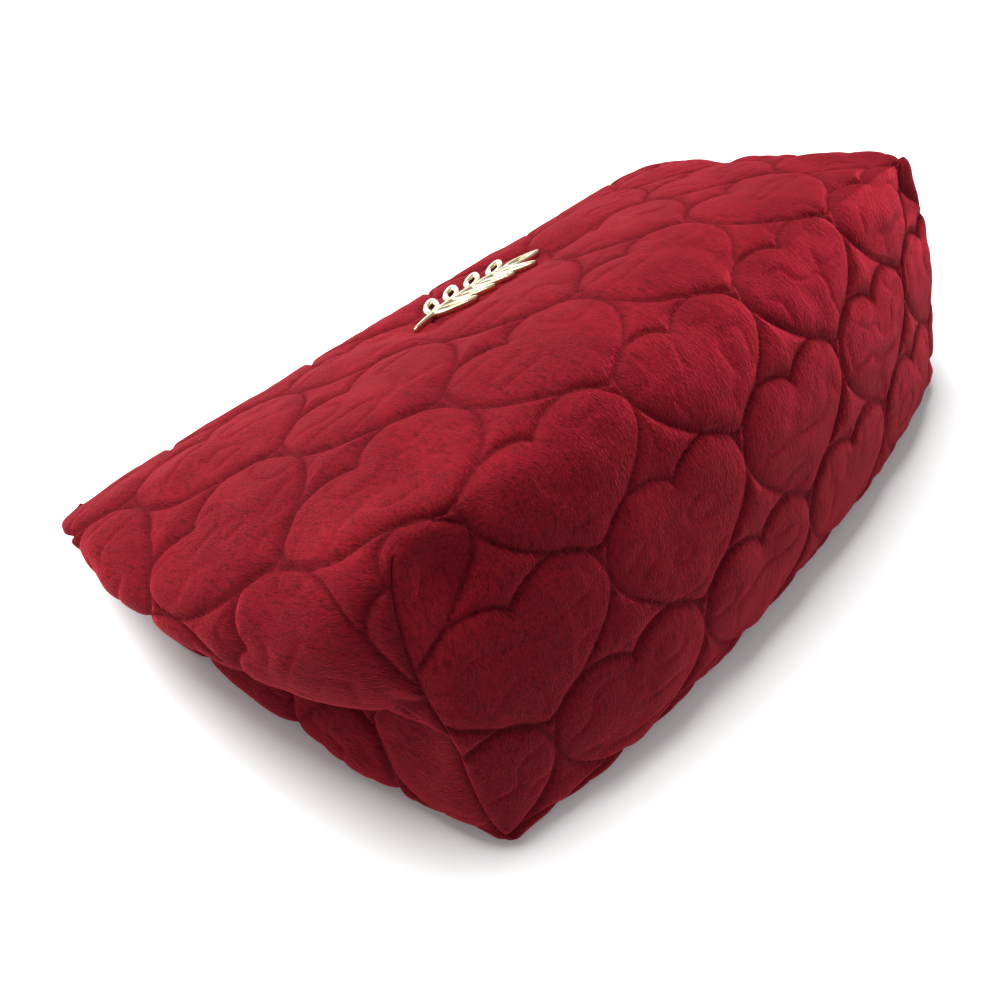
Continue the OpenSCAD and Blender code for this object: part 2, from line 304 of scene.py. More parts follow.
def plush_cloth(colours):
    """Short pile, dark straight on and bright where it is seen along the fibres."""
    shade = Shade(
        "plush_cloth",
        Roughness=0.75,
        Specular_IOR_Level=0.06,
        Sheen_Weight=0.85,
        Sheen_Roughness=0.32,
        Sheen_Tint=(1.0, 0.055, 0.095, 1.0),
    )
    place = shade.place()
    lay = shade.place((1.0, 0.30, 1.0), uv="sheet")
    # Mask of the painted shade in the stitched channels
    channel = shade.attribute("channel")
    brushed = shade.noise(shade.place((1.0, 0.55, 1.0), uv="sheet"), 55, 3, 0.6, 0.8).between(0.46, 0.66)
    patches = shade.noise(place, 28, 2, 0.5).between(0.35, 0.7)
    fibre = shade.noise(lay, 3000, 2, 0.7)
    strand = shade.noise(lay, 1100, 2, 0.6, 0.8)
    tone = shade.mix(brushed * 0.6 + patches * 0.3, tuple(colours.plush), tuple(colours.plush_pale))
    tone = shade.mix(fibre.between(0.35, 0.7) * 0.55, tone, tuple(colours.plush_bright))
    tone = shade.mix(strand.between(0.48, 0.7) * 0.5, tone, tuple(colours.plush_strand_and_channel_shade))
    # Painted shade: the pile is darkened in the stitched channels
    tone = shade.mix(channel * 0.65, tone, tuple(colours.plush_strand_and_channel_shade))
    soft = shade.bump(strand, 0.0005, 0.6)
    shade.set(
        Base_Color=tone,
        Roughness=0.62 + fibre * 0.3,
        Normal=shade.bump(fibre, 0.0005, 0.7, under=soft),
    )
    return shade.material


def satin_lining(colours):
    """Thin satin with a faint rib."""
    shade = Shade("satin_lining", Specular_IOR_Level=0.25, Sheen_Weight=0.15, Sheen_Roughness=0.4)
    place = shade.place()
    thread = shade.noise(shade.place((6.0, 0.4, 1.0), uv="sheet"), 700, 2, 0.6)
    cloud = shade.noise(place, 40, 3, 0.5)
    pale = tuple(min(1.0, c * 1.7) for c in colours.lining)
    shade.set(
        Base_Color=shade.mix(cloud.between(0.3, 0.7) * 0.6 + thread * 0.2, tuple(colours.lining), pale),
        Roughness=0.34 + thread * 0.2,
        Normal=shade.bump(thread, 0.0002, 0.5),
    )
    return shade.material


def white_wadding(colours):
    """Matted white fibres."""
    shade = Shade("white_wadding", Specular_IOR_Level=0.2, Sheen_Weight=0.6)
    place = shade.place()
    tangle = shade.noise(place, 900, 4, 0.75, 1.5)
    shade.set(
        Base_Color=shade.mix(tangle, tuple(c * 0.7 for c in colours.wadding), tuple(colours.wadding)),
        Roughness=0.85 + tangle * 0.1,
        Normal=shade.bump(tangle, 0.0015, 0.8),
    )
    return shade.material


def woven_tape(colours):
    """Tight twill with a little lint."""
    shade = Shade("woven_tape", Specular_IOR_Level=0.3, Sheen_Weight=0.25)
    place = shade.place()
    bands = {"wave_type": "BANDS", "bands_direction": "DIAGONAL"}
    weave = shade.node("ShaderNodeTexWave", bands, {"Vector": place, "Scale": 900.0, "Distortion": 0.4})
    twill = Amount(shade, weave.outputs["Fac"])
    lint = shade.noise(place, 1200, 2, 0.6)
    pale = tuple(min(1.0, c * 2.2) for c in colours.tape)
    shade.set(
        Base_Color=shade.mix(twill * 0.6 + lint * 0.3, tuple(colours.tape), pale),
        Roughness=0.6 + lint * 0.25,
        Normal=shade.bump(twill, 0.00025, 0.7),
    )
    return shade.material


def polished_gold(name, tint, dull):
    """Plated metal with faint handling marks."""
    shade = Shade(name, Metallic=1.0, Specular_IOR_Level=0.5, Coat_Weight=0.15, Coat_Roughness=0.08)
    place = shade.place()
    smear = shade.noise(place, 180, 3, 0.6)
    scratch = shade.noise(shade.place((9.0, 1.0, 1.0)), 600, 2, 0.7)
    worn = tuple(c * 0.78 for c in tint)
    shade.set(
        Base_Color=shade.mix(smear.between(0.42, 0.75) * 0.5, tuple(tint), worn),
        Roughness=dull + smear * 0.12 + scratch.between(0.6, 0.75) * 0.12,
        Normal=shade.bump(scratch, 0.00003, 0.4),
    )
    return shade.material


MATERIALS = {}


def finish_named(name):
    """The material of this name, made once."""
    if name not in MATERIALS:
        colours = bpy.context.scene.bag_colours
        makers = {
            "plush": lambda: plush_cloth(colours),
            "lining": lambda: satin_lining(colours),
            "wadding": lambda: white_wadding(colours),
            "tape": lambda: woven_tape(colours),
            "emblem_gold": lambda: polished_gold("ornament_gold", colours.gold, 0.16),
            "zip_gold": lambda: polished_gold("zip_gold", colours.zip_gold, 0.22),
        }
        MATERIALS[name] = makers[name]()
    return MATERIALS[name]


# ---------------------------------------------------------------- making pieces


def settle(obj, slot, body=None, replaces=(), smooth=True):
    """Gives a piece its finish, the body it rides on and the frame nodes it stands for."""
    obj.data.materials.clear()
    obj.data.materials.append(finish_named(slot))
    if smooth:
        obj.data.shade_smooth()
    if body:
        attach(obj, body)
    if replaces:
        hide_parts(*replaces)
    return obj


def mesh_object(name, points, faces):
    """A mesh in the scene, from its points and faces."""
    mesh = bpy.data.meshes.new(name)
    mesh.from_pydata([tuple(p) for p in points], [], [tuple(f) for f in faces])
    mesh.validate()
    obj = bpy.data.objects.new(name, mesh)
    bpy.context.scene.collection.objects.link(obj)
    return obj


def smoothstep(t):
    """0 below 0, 1 above 1, and smooth in between."""
    t = np.clip(t, 0.0, 1.0)
    return t * t * (3 - 2 * t)


def ripple(points, size, seed):
    """Smooth random waves of about the given size at points, from -1 to 1."""
    rng = np.random.default_rng(seed)
    table = rng.uniform(-1, 1, 4096)
    cell = points / size + 1000.0
    low = np.floor(cell).astype(np.int64)
    part = cell - low
    part = part * part * (3 - 2 * part)
    total = np.zeros(len(points))
    for corner in range(8):
        step = np.array([corner & 1, corner >> 1 & 1, corner >> 2 & 1])
        key = low + step
        pick = (key[:, 0] * 73856093 ^ key[:, 1] * 19349663 ^ key[:, 2] * 83492791) & 4095
        weight = np.prod(np.where(step == 1, part, 1 - part), axis=1)
        total += weight * table[pick]
    return total


def joined(parts):
    """Several (points, faces) parts as one."""
    points, faces, start = [], [], 0
    for part_points, part_faces in parts:
        points.extend(part_points)
        faces.extend([[i + start for i in face] for face in part_faces])
        start += len(part_points)
    return points, faces


def turned(axes, origin=(0, 0, 0)):
    """A function from (a, b, c) to the bag's axes, for prisms and sweeps."""
    axes = np.array(axes, float)
    origin = np.array(origin, float)
    return lambda p: origin + np.asarray(p) @ axes


FACING_ZIP = ((1, 0, 0), (0, 0, 1), (0, -1, 0))
UPRIGHT = ((1, 0, 0), (0, 1, 0), (0, 0, 1))


def mirrored(points, x=1, y=1):
    """A run of points backwards, with the sign of one axis turned round."""
    return [(a * x, b * y) for a, b in reversed(points)]


def above(heights, floor, give):
    """Heights eased up to stay over a floor, with a soft turn of the given size."""
    return floor + np.logaddexp(0, (heights - floor) / give) * give


def tube_faces(rings, around):
    """Faces of a closed tube: its walls ring by ring, then its two end caps."""
    faces = []
    for i in range(rings - 1):
        for a in range(around):
            b = (a + 1) % around
            faces.append([i * around + a, i * around + b, (i + 1) * around + b, (i + 1) * around + a])
    return [*faces, list(range(around)), list(range((rings - 1) * around, rings * around))]


def half_round(centre, radius, steps=17):
    """Half a circle from +Y round to -Y, on the -X side of its centre."""
    turns = np.linspace(math.pi / 2, 3 * math.pi / 2, steps)
    return [(centre + radius * math.cos(a), radius * math.sin(a)) for a in turns]


def prism(outline, low, high, bevel, place, steps=3):
    """A plate with rounded rims; the outline runs counterclockwise."""
    outline = np.array(outline, float)
    back = outline - np.roll(outline, 1, 0)
    ahead = np.roll(outline, -1, 0) - outline
    back /= np.linalg.norm(back, axis=1, keepdims=True)
    ahead /= np.linalg.norm(ahead, axis=1, keepdims=True)
    out = np.stack([back[:, 1] + ahead[:, 1], -back[:, 0] - ahead[:, 0]], axis=1)
    out /= np.maximum(1 + (back * ahead).sum(1), 0.35)[:, None]
    turns = np.linspace(0, math.pi / 2, steps + 1)
    rings = [(bevel * (1 - math.sin(a)), low + bevel * (1 - math.cos(a))) for a in turns]
    rings += [(inset, high + low - level) for inset, level in reversed(rings)]
    points = []
    for inset, level in rings:
        flat = outline - out * inset
        points.extend(place(np.column_stack([flat, np.full(len(flat), level)])))
    n = len(outline)
    faces = [list(range(n))[::-1], list(range((len(rings) - 1) * n, len(rings) * n))]
    for r in range(len(rings) - 1):
        for i in range(n):
            j = (i + 1) % n
            faces.append([r * n + i, r * n + j, (r + 1) * n + j, (r + 1) * n + i])
    return points, faces


def rounded(wide, high, radius, steps=5, middle=(0, 0)):
    """A rectangle with rounded corners, counterclockwise."""
    points = []
    for k, (sx, sy) in enumerate(((1, 1), (-1, 1), (-1, -1), (1, -1))):
        for i in range(steps + 1):
            a = math.pi / 2 * (k + i / steps)
            points.append(
                (
                    middle[0] + sx * (wide / 2 - radius) + radius * math.cos(a),
                    middle[1] + sy * (high / 2 - radius) + radius * math.sin(a),
                )
            )
    return points


def swept(path, wide, tall, place, closed=False):
    """A bar along a flat path; wide and tall give its half sizes at each point."""
    path = np.array(path, float)
    count = len(path)
    a = np.linspace(0, 2 * math.pi, 16, endpoint=False)
    profile = np.column_stack([np.sign(wave(a)) * np.abs(wave(a)) ** 0.5 for wave in (np.cos, np.sin)])
    if closed:
        ahead = np.roll(path, -1, 0) - np.roll(path, 1, 0)
    else:
        ahead = np.gradient(path, axis=0)
    ahead /= np.linalg.norm(ahead, axis=1, keepdims=True)
    side = np.column_stack([ahead[:, 1], -ahead[:, 0]])
    wide, tall = np.broadcast_to(wide, count), np.broadcast_to(tall, count)
    points, faces, k = [], [], len(profile)
    for i in range(count):
        flat = path[i] + side[i] * (profile[:, :1] * wide[i])
        level = tall[i] * (1 + profile[:, 1])
        points.extend(place(np.column_stack([flat, level])))
    for i in range(count if closed else count - 1):
        for a in range(k):
            b, n = (a + 1) % k, (i + 1) % count
            faces.append([i * k + a, i * k + b, n * k + b, n * k + a])
    if not closed:
        faces += [list(range(k)), list(range((count - 1) * k, count * k))[::-1]]
    return points, faces


def outward(obj):
    """Turns a closed piece's faces to look outwards."""
    rig = bmesh.new()
    rig.from_mesh(obj.data)
    bmesh.ops.recalc_face_normals(rig, faces=rig.faces)
    rig.to_mesh(obj.data)
    rig.free()
    return obj


# ---------------------------------------------------------------- the cloth shell

CELLS_ACROSS, CELLS_UP, CELLS_BASE, CELLS_END = 48, 24, 16, 8
FRONT, BASE, BACK, LEFT_UP, LEFT_DOWN, RIGHT_UP, RIGHT_DOWN = range(7)
SHELL = {}


# Points of the zip's band above and below the zip's middle line
FRONT_LIP, BACK_LIP = (0.0048, 0.0064), (-0.0048, -0.0072)
# Where the band turns into the front: in from the zip edge, and up from the middle line
FRONT_TURN_IN, FRONT_TURN_UP, BACK_TURN_IN = 0.0015, 0.0079, 0.004
# How much the lips lift at the zip's ends, and where along a half of the zip that starts
TIP_LIFT, TIP_START = 0.0035, 0.88
# How far inside the zip's corner the side seam starts
TIP_IN = 0.0015
# How far the middle of the fold stands forward, and the middle of the heel lies lower
FOLD_FORWARD, HEEL_DROP = 0.0015, 0.0008
# Shares of the way down to a point, for the rows from the zip edge on
TIP_DRAW = (0.92, 0.84, 0.66, 0.45, 0.25)


def run_lengths(points):
    """Length travelled along a row of points, from 0."""
    steps = np.linalg.norm(np.diff(points, axis=0), axis=1)
    return np.concatenate([[0.0], np.cumsum(steps)])


def along(points, shares):
    """Places at the given shares of the length of a smooth line through points."""
    points = np.array(points, float)
    ends = np.vstack([2 * points[0] - points[1], points, 2 * points[-1] - points[-2]])
    t = np.linspace(0, 1, 24, endpoint=False)[:, None]
    fine = []
    for a, b, c, d in zip(ends, ends[1:], ends[2:], ends[3:]):
        square, cube = 2 * a - 5 * b + 4 * c - d, 3 * b - a - 3 * c + d
        fine.append(0.5 * (2 * b + (c - a) * t + square * t**2 + cube * t**3))
    fine = np.vstack([*fine, points[-1:]])
    run = run_lengths(fine)
    return np.stack([np.interp(shares * run[-1], run, fine[:, k]) for k in range(points.shape[1])], axis=1)


def cubic(t, start, first, last, end):
    """A curve from start to end, drawn towards first and then towards last."""
    return (1 - t) ** 3 * start + 3 * t * (1 - t) ** 2 * first + 3 * t * t * (1 - t) * last + t**3 * end


def panel_rails(shape):
    """The (y, z) rows of the front, the base and the back: at the bag's sides, and in its full middle."""
    zy, zz = shape.zip_y, shape.zip_z
    fold = np.array([shape.fold_y, shape.fold_z])
    heel = np.array([shape.heel_y, shape.rest_z])
    full_fold = fold + [-FOLD_FORWARD, shape.fold_rise]
    full_heel = heel + [-shape.heel_bow, -HEEL_DROP]
    front_lip = [[zy, zz + rise] for rise in FRONT_LIP]
    back_lip = [[zy, zz + rise] for rise in BACK_LIP]
    front_turn = np.array([zy - FRONT_TURN_IN, zz + FRONT_TURN_UP])
    back_turn = np.array([zy - BACK_TURN_IN, shape.rest_z])
    t = np.linspace(0, 1, CELLS_UP - 1)
    half = CELLS_BASE // 2
    share = shape.seam_share
    s = np.concatenate([np.linspace(0, share, half + 1), np.linspace(share, 1, half + 1)[1:]])

    def bowed(start, end, bow, places):
        """A line from start to end, bowed outwards, with more bow early on."""
        middle = np.array([end - start])
        out = np.array([-middle[0, 1], middle[0, 0]]) / np.linalg.norm(middle)
        between = ((0.2, 0.62), (0.45, 1), (0.75, 0.86))
        knots = [start + (end - start) * f + out * bow * share for f, share in between]
        return along([start, *knots, end], places)

    side = (
        np.vstack([front_lip, along([front_turn, (front_turn + fold) / 2, fold], t)]),
        along([fold, (fold + heel) / 2, heel], s),
        np.vstack([back_lip, along([back_turn, (back_turn + heel) / 2, heel], t)]),
    )
    full = (
        np.vstack([front_lip, bowed(front_turn, full_fold, -shape.front_bow, t)]),
        bowed(full_fold, full_heel, -shape.base_bow, s),
        np.vstack([back_lip, along([back_turn, (back_turn + full_heel) / 2 - [0, 0.001], full_heel], t)]),
    )
    return tuple(zip(side, full))


def half_widths(rail, shape, edge_y, bow):
    """Half the width of a panel at each of its rows, from the zip edge to another edge."""
    t = np.clip((shape.zip_y - rail[:, 0]) / (shape.zip_y - edge_y), 0, 1)
    return shape.zip_half + (shape.base_half - shape.zip_half) * t + bow * boxy(t)


def boxy(t):
    """0 at both ends and nearly 1 over most of the way."""
    return np.clip(np.sin(np.pi * np.clip(t, 0, 1)), 0, 1) ** 0.5


def sheet_grid(rails, half, across):
    """A panel's points: rows along the rails, columns from -X to +X, swelling towards the middle."""
    side, full = rails
    swell = (1 - np.abs(across) ** 2.6)[None, :, None]
    grid = np.zeros((len(side), len(across), 3))
    grid[:, :, 0] = half[:, None] * across[None, :]
    grid[:, :, 1:] = side[:, None, :] + (full - side)[:, None, :] * swell
    return grid


def end_half(edge, seam, foot, side, shape, upper):
    """One half of an end: from the panel's edge to the drawn-in side seam, down to its foot on the base."""
    f = run_lengths(edge) / run_lengths(edge)[-1]
    lift = np.clip(np.sin(np.pi * f**1.1), 0, 1) ** 0.5 * (1.0 if side < 0 else shape.right_share)
    out = np.array([side, 0.0, 0.0])
    t = np.linspace(0, 1, CELLS_END + 1)[:, None]
    straight = foot[0] + (foot[-1] - foot[0]) * t
    grid = np.zeros((len(edge), len(t), 3))
    for i in range(len(edge)):
        across = seam[i] - edge[i]
        if upper:
            drop = across - out * across.dot(out)
            first = edge[i] + across * 0.2 + (out * shape.end_bulge + drop * 0.05) * lift[i]
            last = edge[i] + across * 0.72 + (out * shape.end_bulge * 1.3 + drop * 0.62) * lift[i]
        else:
            first = edge[i] + across / 3 + out * shape.tuck_bulge * lift[i]
            last = edge[i] + across * 0.6 + out * shape.tuck_bulge * lift[i]
        grid[i] = cubic(t, edge[i], first, last, seam[i]) + (foot - straight) * f[i] ** 4
    grid[-1] = foot
    return grid


def sheet_coords(grid, v, outward):
    """Flat sheet places of an end half's points, carried on from the panel's edge."""
    rows, columns = grid.shape[:2]
    uv = np.zeros((rows, columns, 2))
    for i in range(rows):
        uv[i, :, 0] = grid[i, 0, 0] + outward * run_lengths(grid[i])
        uv[i, :, 1] = v[i]
    return uv


def meet_at_ends(grid, across, zip_z):
    """Draws a panel's lip rows down to a point at the zip's ends."""
    near = smoothstep((np.abs(across) - TIP_START) / (1 - TIP_START))
    for row, share in enumerate(TIP_DRAW):
        grid[row, :, 2] += (zip_z - grid[row, :, 2]) * share * near
        grid[row, :, 0] *= 1 - 0.015 * share * near
        grid[row, :, 2] += TIP_LIFT * near
    grid[5:9, :, 2] += TIP_LIFT * near * np.array([[0.8], [0.6], [0.4], [0.2]])


def rough_shell(shape):
    """The bag before it fills out: panels as grids, with their sheet places and seam distances."""
    front, base, back = panel_rails(shape)
    across = np.linspace(-1, 1, CELLS_ACROSS + 1)
    front_half = half_widths(front[0], shape, shape.fold_y, shape.ridge_bow)
    back_half = half_widths(back[0], shape, shape.heel_y, shape.side_bow)
    front_grid = sheet_grid(front, front_half, across)
    base_share = run_lengths(base[0]) / run_lengths(base[0])[-1]
    base_half = shape.base_half + shape.base_side_bow * boxy(base_share)
    base_grid = sheet_grid(base, base_half, across)
    back_grid = sheet_grid(back, back_half, across)
    meet_at_ends(front_grid, across, shape.zip_z)
    meet_at_ends(back_grid, across, shape.zip_z)
    front_v, base_run, back_run = (run_lengths(rails[1]) for rails in (front, base, back))
    fold_v = front_v[-1]
    heel_v = fold_v + base_run[-1]
    back_v = heel_v + back_run[-1] - back_run

    def flat(grid, v):
        """Sheet places of a whole panel: across by X, and along by the rows' lengths."""
        return np.dstack([grid[:, :, 0], np.repeat(v[:, None], grid.shape[1], axis=1)])

    corner = np.hypot(front_half[-1] - np.abs(front_grid[:, :, 0]), (fold_v - front_v)[:, None])
    heel_corner = np.hypot(back_half[-1] - np.abs(back_grid[:, :, 0]), (back_v - heel_v)[:, None])
    side_gap = base_half[:, None] - np.abs(base_grid[:, :, 0])
    front_hem, back_hem = (np.broadcast_to(run[:, None], corner.shape) for run in (front_v, back_run))
    patches = [
        (FRONT, front_grid, flat(front_grid, front_v), corner, front_hem),
        (BASE, base_grid, flat(base_grid, fold_v + base_run), side_gap, np.ones_like(side_gap)),
        (BACK, back_grid, flat(back_grid, back_v), heel_corner, back_hem),
    ]
    right = np.clip(across, 0, 1) ** 3 * shape.right_swell
    front_share = front_v / front_v[-1]
    back_share = back_run / back_run[-1]
    front_grid[:, :, 0] += smoothstep((front_share - 0.5) / 0.5)[:, None] * right
    base_grid[:, :, 0] += (1 - 0.6 * base_share)[:, None] * right
    back_grid[:, :, 0] += 0.4 * smoothstep((back_share - 0.4) / 0.6)[:, None] * right
    meet = CELLS_BASE // 2
    SHELL["side_seams"] = {}
    for side, up, down in ((-1, LEFT_UP, LEFT_DOWN), (1, RIGHT_UP, RIGHT_DOWN)):
        column = 0 if side < 0 else -1
        ridge, rim = front_grid[:, column], back_grid[:, column]
        knot = base_grid[meet, column]
        tail = np.array([side * (shape.zip_half - TIP_IN), shape.zip_y, shape.zip_z + TIP_LIFT])
        f = run_lengths(ridge) / run_lengths(ridge)[-1]
        seam = tail + (knot - tail) * f[:, None]
        seam[:, 0] -= side * shape.pleat * np.sin(np.pi * f ** 0.9) ** 0.8 * (f < 1) * smoothstep(f / 0.16)
        SHELL["side_seams"][side] = seam
        feet = base_grid[: meet + 1, column], base_grid[meet:, column][::-1]
        for kind, edge, v, foot in ((up, ridge, front_v, feet[0]), (down, rim, back_v, feet[1])):
            grid = end_half(edge, seam, foot, side, shape, kind == up)
            uv = sheet_coords(grid, v, side)
            to_seam = np.abs(uv[:, -1:, 0] - uv[:, :, 0])
            to_base = np.abs(v[-1] - v)[:, None]
            hem = np.broadcast_to(run_lengths(edge)[:, None], to_seam.shape)
            patches.append((kind, grid, uv, np.minimum(to_seam, to_base), hem))
    return patches


def join_patches(patches):
    """One mesh from all the grids, with shared edges, sheet places and seam distances on its corners."""
    points, faces, kinds, sheets, seams = [], [], [], [], []
    index = {}

    def number(p):
        """The index of a point, the same for points that meet."""
        key = tuple(np.round(p * 1e6).astype(int))
        if key not in index:
            index[key] = len(points)
            points.append(p)
        return index[key]

    held = {}
    for kind, grid, uv, seam, hem in patches:
        ids = np.array([[number(p) for p in row] for row in grid])
        rows, columns = ids.shape
        for i in range(rows):
            for j in range(columns):
                near_hem = kind != BASE and i < 3
                on_seam = kind > BACK and j == columns - 1
                on_heel = kind in (BASE, BACK) and i == rows - 1
                on_side = kind == BASE and j in (0, columns - 1)
                at_corner = on_heel and j in (0, columns - 1)
                weight = 0.75 if on_heel or on_side else 0.0
                if near_hem or on_seam or at_corner:
                    weight = 1.0
                held[ids[i, j]] = max(held.get(ids[i, j], 0.0), weight)
        for i in range(rows - 1):
            for j in range(columns - 1):
                corners = ((i, j), (i, j + 1), (i + 1, j + 1), (i + 1, j))
                faces.append([ids[c] for c in corners])
                kinds.append(kind)
                sheets.append([uv[c] for c in corners])
                seams.append([(seam[c], hem[c]) for c in corners])
    obj = mesh_object("shell", points, faces)
    mesh = obj.data
    mesh.polygons.foreach_set("material_index", np.array(kinds, np.int32))
    for name, values in (("sheet", sheets), ("seam", seams)):
        layer = mesh.uv_layers.new(name=name)
        layer.data.foreach_set("uv", np.array(values, np.float32).ravel())
    group = obj.vertex_groups.new(name="held")
    for vertex, weight in held.items():
        group.add([int(vertex)], weight, "REPLACE")
    return outward(obj)


def rounded_off(obj, rounds):
    """Softens the shell's edges, except where it is sewn."""
    mesh = obj.data
    points = np.array([v.co for v in mesh.vertices])
    edges = np.array([e.vertices for e in mesh.edges])
    ties = np.zeros(len(points))
    np.add.at(ties, edges.ravel(), 1)
    loose = np.array([1 - v.groups[0].weight for v in mesh.vertices])[:, None]
    for _ in range(rounds):
        total = np.zeros_like(points)
        np.add.at(total, edges[:, 0], points[edges[:, 1]])
        np.add.at(total, edges[:, 1], points[edges[:, 0]])
        points += (total / ties[:, None] - points) * 0.5 * loose
    mesh.vertices.foreach_set("co", points.ravel())
    mesh.update()


def fill_out(obj, fill):
    """Blows the cloth up a little, with its seams and hems held, and caps how far it may move."""
    scene = bpy.context.scene
    before = np.array([v.co for v in obj.data.vertices])
    cloth = obj.modifiers.new("filling", "CLOTH")
    settings = cloth.settings
    settings.quality = 6
    settings.mass = 0.25
    settings.tension_stiffness = settings.compression_stiffness = 12
    settings.shear_stiffness = 4
    settings.bending_stiffness = 0.6
    settings.use_pressure = True
    settings.uniform_pressure_force = fill.pressure
    settings.effector_weights.gravity = 0.0
    settings.vertex_group_mass = "held"
    cloth.collision_settings.use_collision = False
    cloth.point_cache.frame_start, cloth.point_cache.frame_end = 1, fill.steps
    for step in range(1, fill.steps + 1):
        scene.frame_set(step)
    view = bpy.context.evaluated_depsgraph_get()
    shaped = obj.evaluated_get(view).to_mesh()
    after = np.array([v.co for v in shaped.vertices])
    obj.evaluated_get(view).to_mesh_clear()
    obj.modifiers.clear()
    scene.frame_set(1)
    move = after - before
    far = np.linalg.norm(move, axis=1, keepdims=True)
    move *= fill.cap * np.tanh(far / fill.cap) / np.maximum(far, 1e-9)
    obj.data.vertices.foreach_set("co", (before + move).ravel())
    obj.data.update()
    return far.max()


# Gathers at the base's corners: place, depth along the cloth's normal, and reach
DIMPLES = (
    ((-0.1055, -0.0385, 0.0655), 0.0085, 0.0080),
    ((-0.1040, -0.0260, 0.0740), -0.0040, 0.0100),
    ((-0.1170, -0.0250, 0.0600), -0.0030, 0.0110),
    ((0.1070, -0.0400, 0.0640), 0.0050, 0.0090),
)


def settle_shell(obj, shape, ornament):
    """Gathers the bottom corners, sets the bag on the floor and flattens it under the ornament."""
    points = np.array([v.co for v in obj.data.vertices])
    normals = np.array([v.normal for v in obj.data.vertices])
    for place, depth, reach in DIMPLES:
        near = np.exp(-(((points - place) / reach) ** 2).sum(axis=1))
        points -= normals * (depth * near)[:, None]
    points[:, 2] = above(points[:, 2], shape.rest_z, 0.0012)
    points = pressed(points, ornament, 0.0, 0.0005, 0.022)
    obj.data.vertices.foreach_set("co", points.ravel())
    obj.data.update()


def refined(obj, levels, name):
    """A copy of the shell with its cells split and rounded."""
    copy = obj.copy()
    copy.data = obj.data.copy()
    copy.name = name
    bpy.context.scene.collection.objects.link(copy)
    smooth = copy.modifiers.new("round", "SUBSURF")
    smooth.levels = smooth.render_levels = levels
    smooth.uv_smooth = "NONE"
    smooth.boundary_smooth = "PRESERVE_CORNERS"
    view = bpy.context.evaluated_depsgraph_get()
    mesh = bpy.data.meshes.new_from_object(copy.evaluated_get(view))
    bpy.data.objects.remove(copy)
    return mesh


def mesh_arrays(mesh):
    """Points, normals, faces, face kinds and corner data of a mesh of quads."""
    count, sides = len(mesh.vertices), len(mesh.polygons)
    points = np.empty(count * 3)
    mesh.vertices.foreach_get("co", points)
    normals = np.empty(count * 3)
    mesh.vertices.foreach_get("normal", normals)
    corners = np.empty(len(mesh.loops), np.int32)
    mesh.loops.foreach_get("vertex_index", corners)
    kinds = np.empty(sides, np.int32)
    mesh.polygons.foreach_get("material_index", kinds)
    layers = {}
    for name in ("sheet", "seam"):
        flat = np.empty(len(mesh.loops) * 2)
        mesh.uv_layers[name].data.foreach_get("uv", flat)
        layers[name] = flat.reshape(-1, 2)
    return points.reshape(-1, 3), normals.reshape(-1, 3), corners.reshape(-1, 4), kinds, layers


def at_points(count, faces, values, pick):
    """Corner values gathered onto points by min or max."""
    result = np.full(count, np.inf if pick is np.minimum else -np.inf)
    pick.at(result, faces.ravel(), values)
    return result


# ---------------------------------------------------------------- quilting


def heart_outline(quilt, steps=40):
    """One stitched heart, notch at the origin and tip along +Y, as a closed line in millimetres."""
    half, tall = quilt.pitch / MM / 2, quilt.tall / MM
    knots = [
        [(0, 0), (2.4, -3.4), (7.0, -5.0), (12.2, -5.0)],
        [(12.2, -5.0), (19.6, -5.0), (half - 0.25, 1.6), (half - 0.25, 9.0)],
        [(half - 0.25, 9.0), (half - 0.25, 17.4), (14.0, tall - 6.6), (0, tall)],
    ]
    t = np.linspace(0, 1, steps)[:, None]
    side = np.vstack([cubic(t, *np.array(part)) for part in knots])
    return np.vstack([side, (side * [-1, 1])[::-1]])


def stitch_tile(quilt, cell=0.25):
    """Distance to the nearest stitch over one repeat of the quilting, in millimetres."""
    pitch, row = quilt.pitch / MM, quilt.row / MM
    wide, high = int(round(pitch / cell)), int(round(2 * row / cell))
    x, y = np.meshgrid(np.arange(wide) * cell, np.arange(high) * cell)
    best = np.full(x.shape, 1e9)
    outline = heart_outline(quilt)
    start, end = outline[:-1], outline[1:]
    keep = np.linalg.norm(end - start, axis=1) > 1e-6
    start, end = start[keep], end[keep]
    for i in range(-1, 3):
        for j in range(-2, 4):
            move = np.array([(i + 0.5 * (j % 2)) * pitch, j * row])
            if move[0] < -pitch or move[0] > 2 * pitch:
                continue
            for a, b in zip(start + move, end + move):
                ab = b - a
                t = np.clip(((x - a[0]) * ab[0] + (y - a[1]) * ab[1]) / ab.dot(ab), 0, 1)
                np.minimum(best, (x - a[0] - t * ab[0]) ** 2 + (y - a[1] - t * ab[1]) ** 2, out=best)
    return np.sqrt(best)


def stitch_distance(sheet, fold_v, quilt):
    """Distance from each sheet place to the nearest stitch, in metres."""
    tile = SHELL.setdefault("tile", stitch_tile(quilt))
    high, wide = tile.shape
    u = (sheet[:, 0] - quilt.across) / quilt.pitch * wide
    v = (sheet[:, 1] - fold_v - quilt.down) / (2 * quilt.row) * high
    u0, v0 = np.floor(u).astype(int), np.floor(v).astype(int)
    a, b = u - u0, v - v0
    near = (
        tile[v0 % high, u0 % wide] * (1 - a) * (1 - b)
        + tile[v0 % high, (u0 + 1) % wide] * a * (1 - b)
        + tile[(v0 + 1) % high, u0 % wide] * (1 - a) * b
        + tile[(v0 + 1) % high, (u0 + 1) % wide] * a * b
    )
    return near * MM


def sprig_axes(ornament):
    """Along the sprig, up it towards the zip, and out of the cloth."""
    tilt = math.radians(ornament.tilt)
    return np.array([[1, 0, 0], [0, math.cos(tilt), -math.sin(tilt)], [0, math.sin(tilt), math.cos(tilt)]])


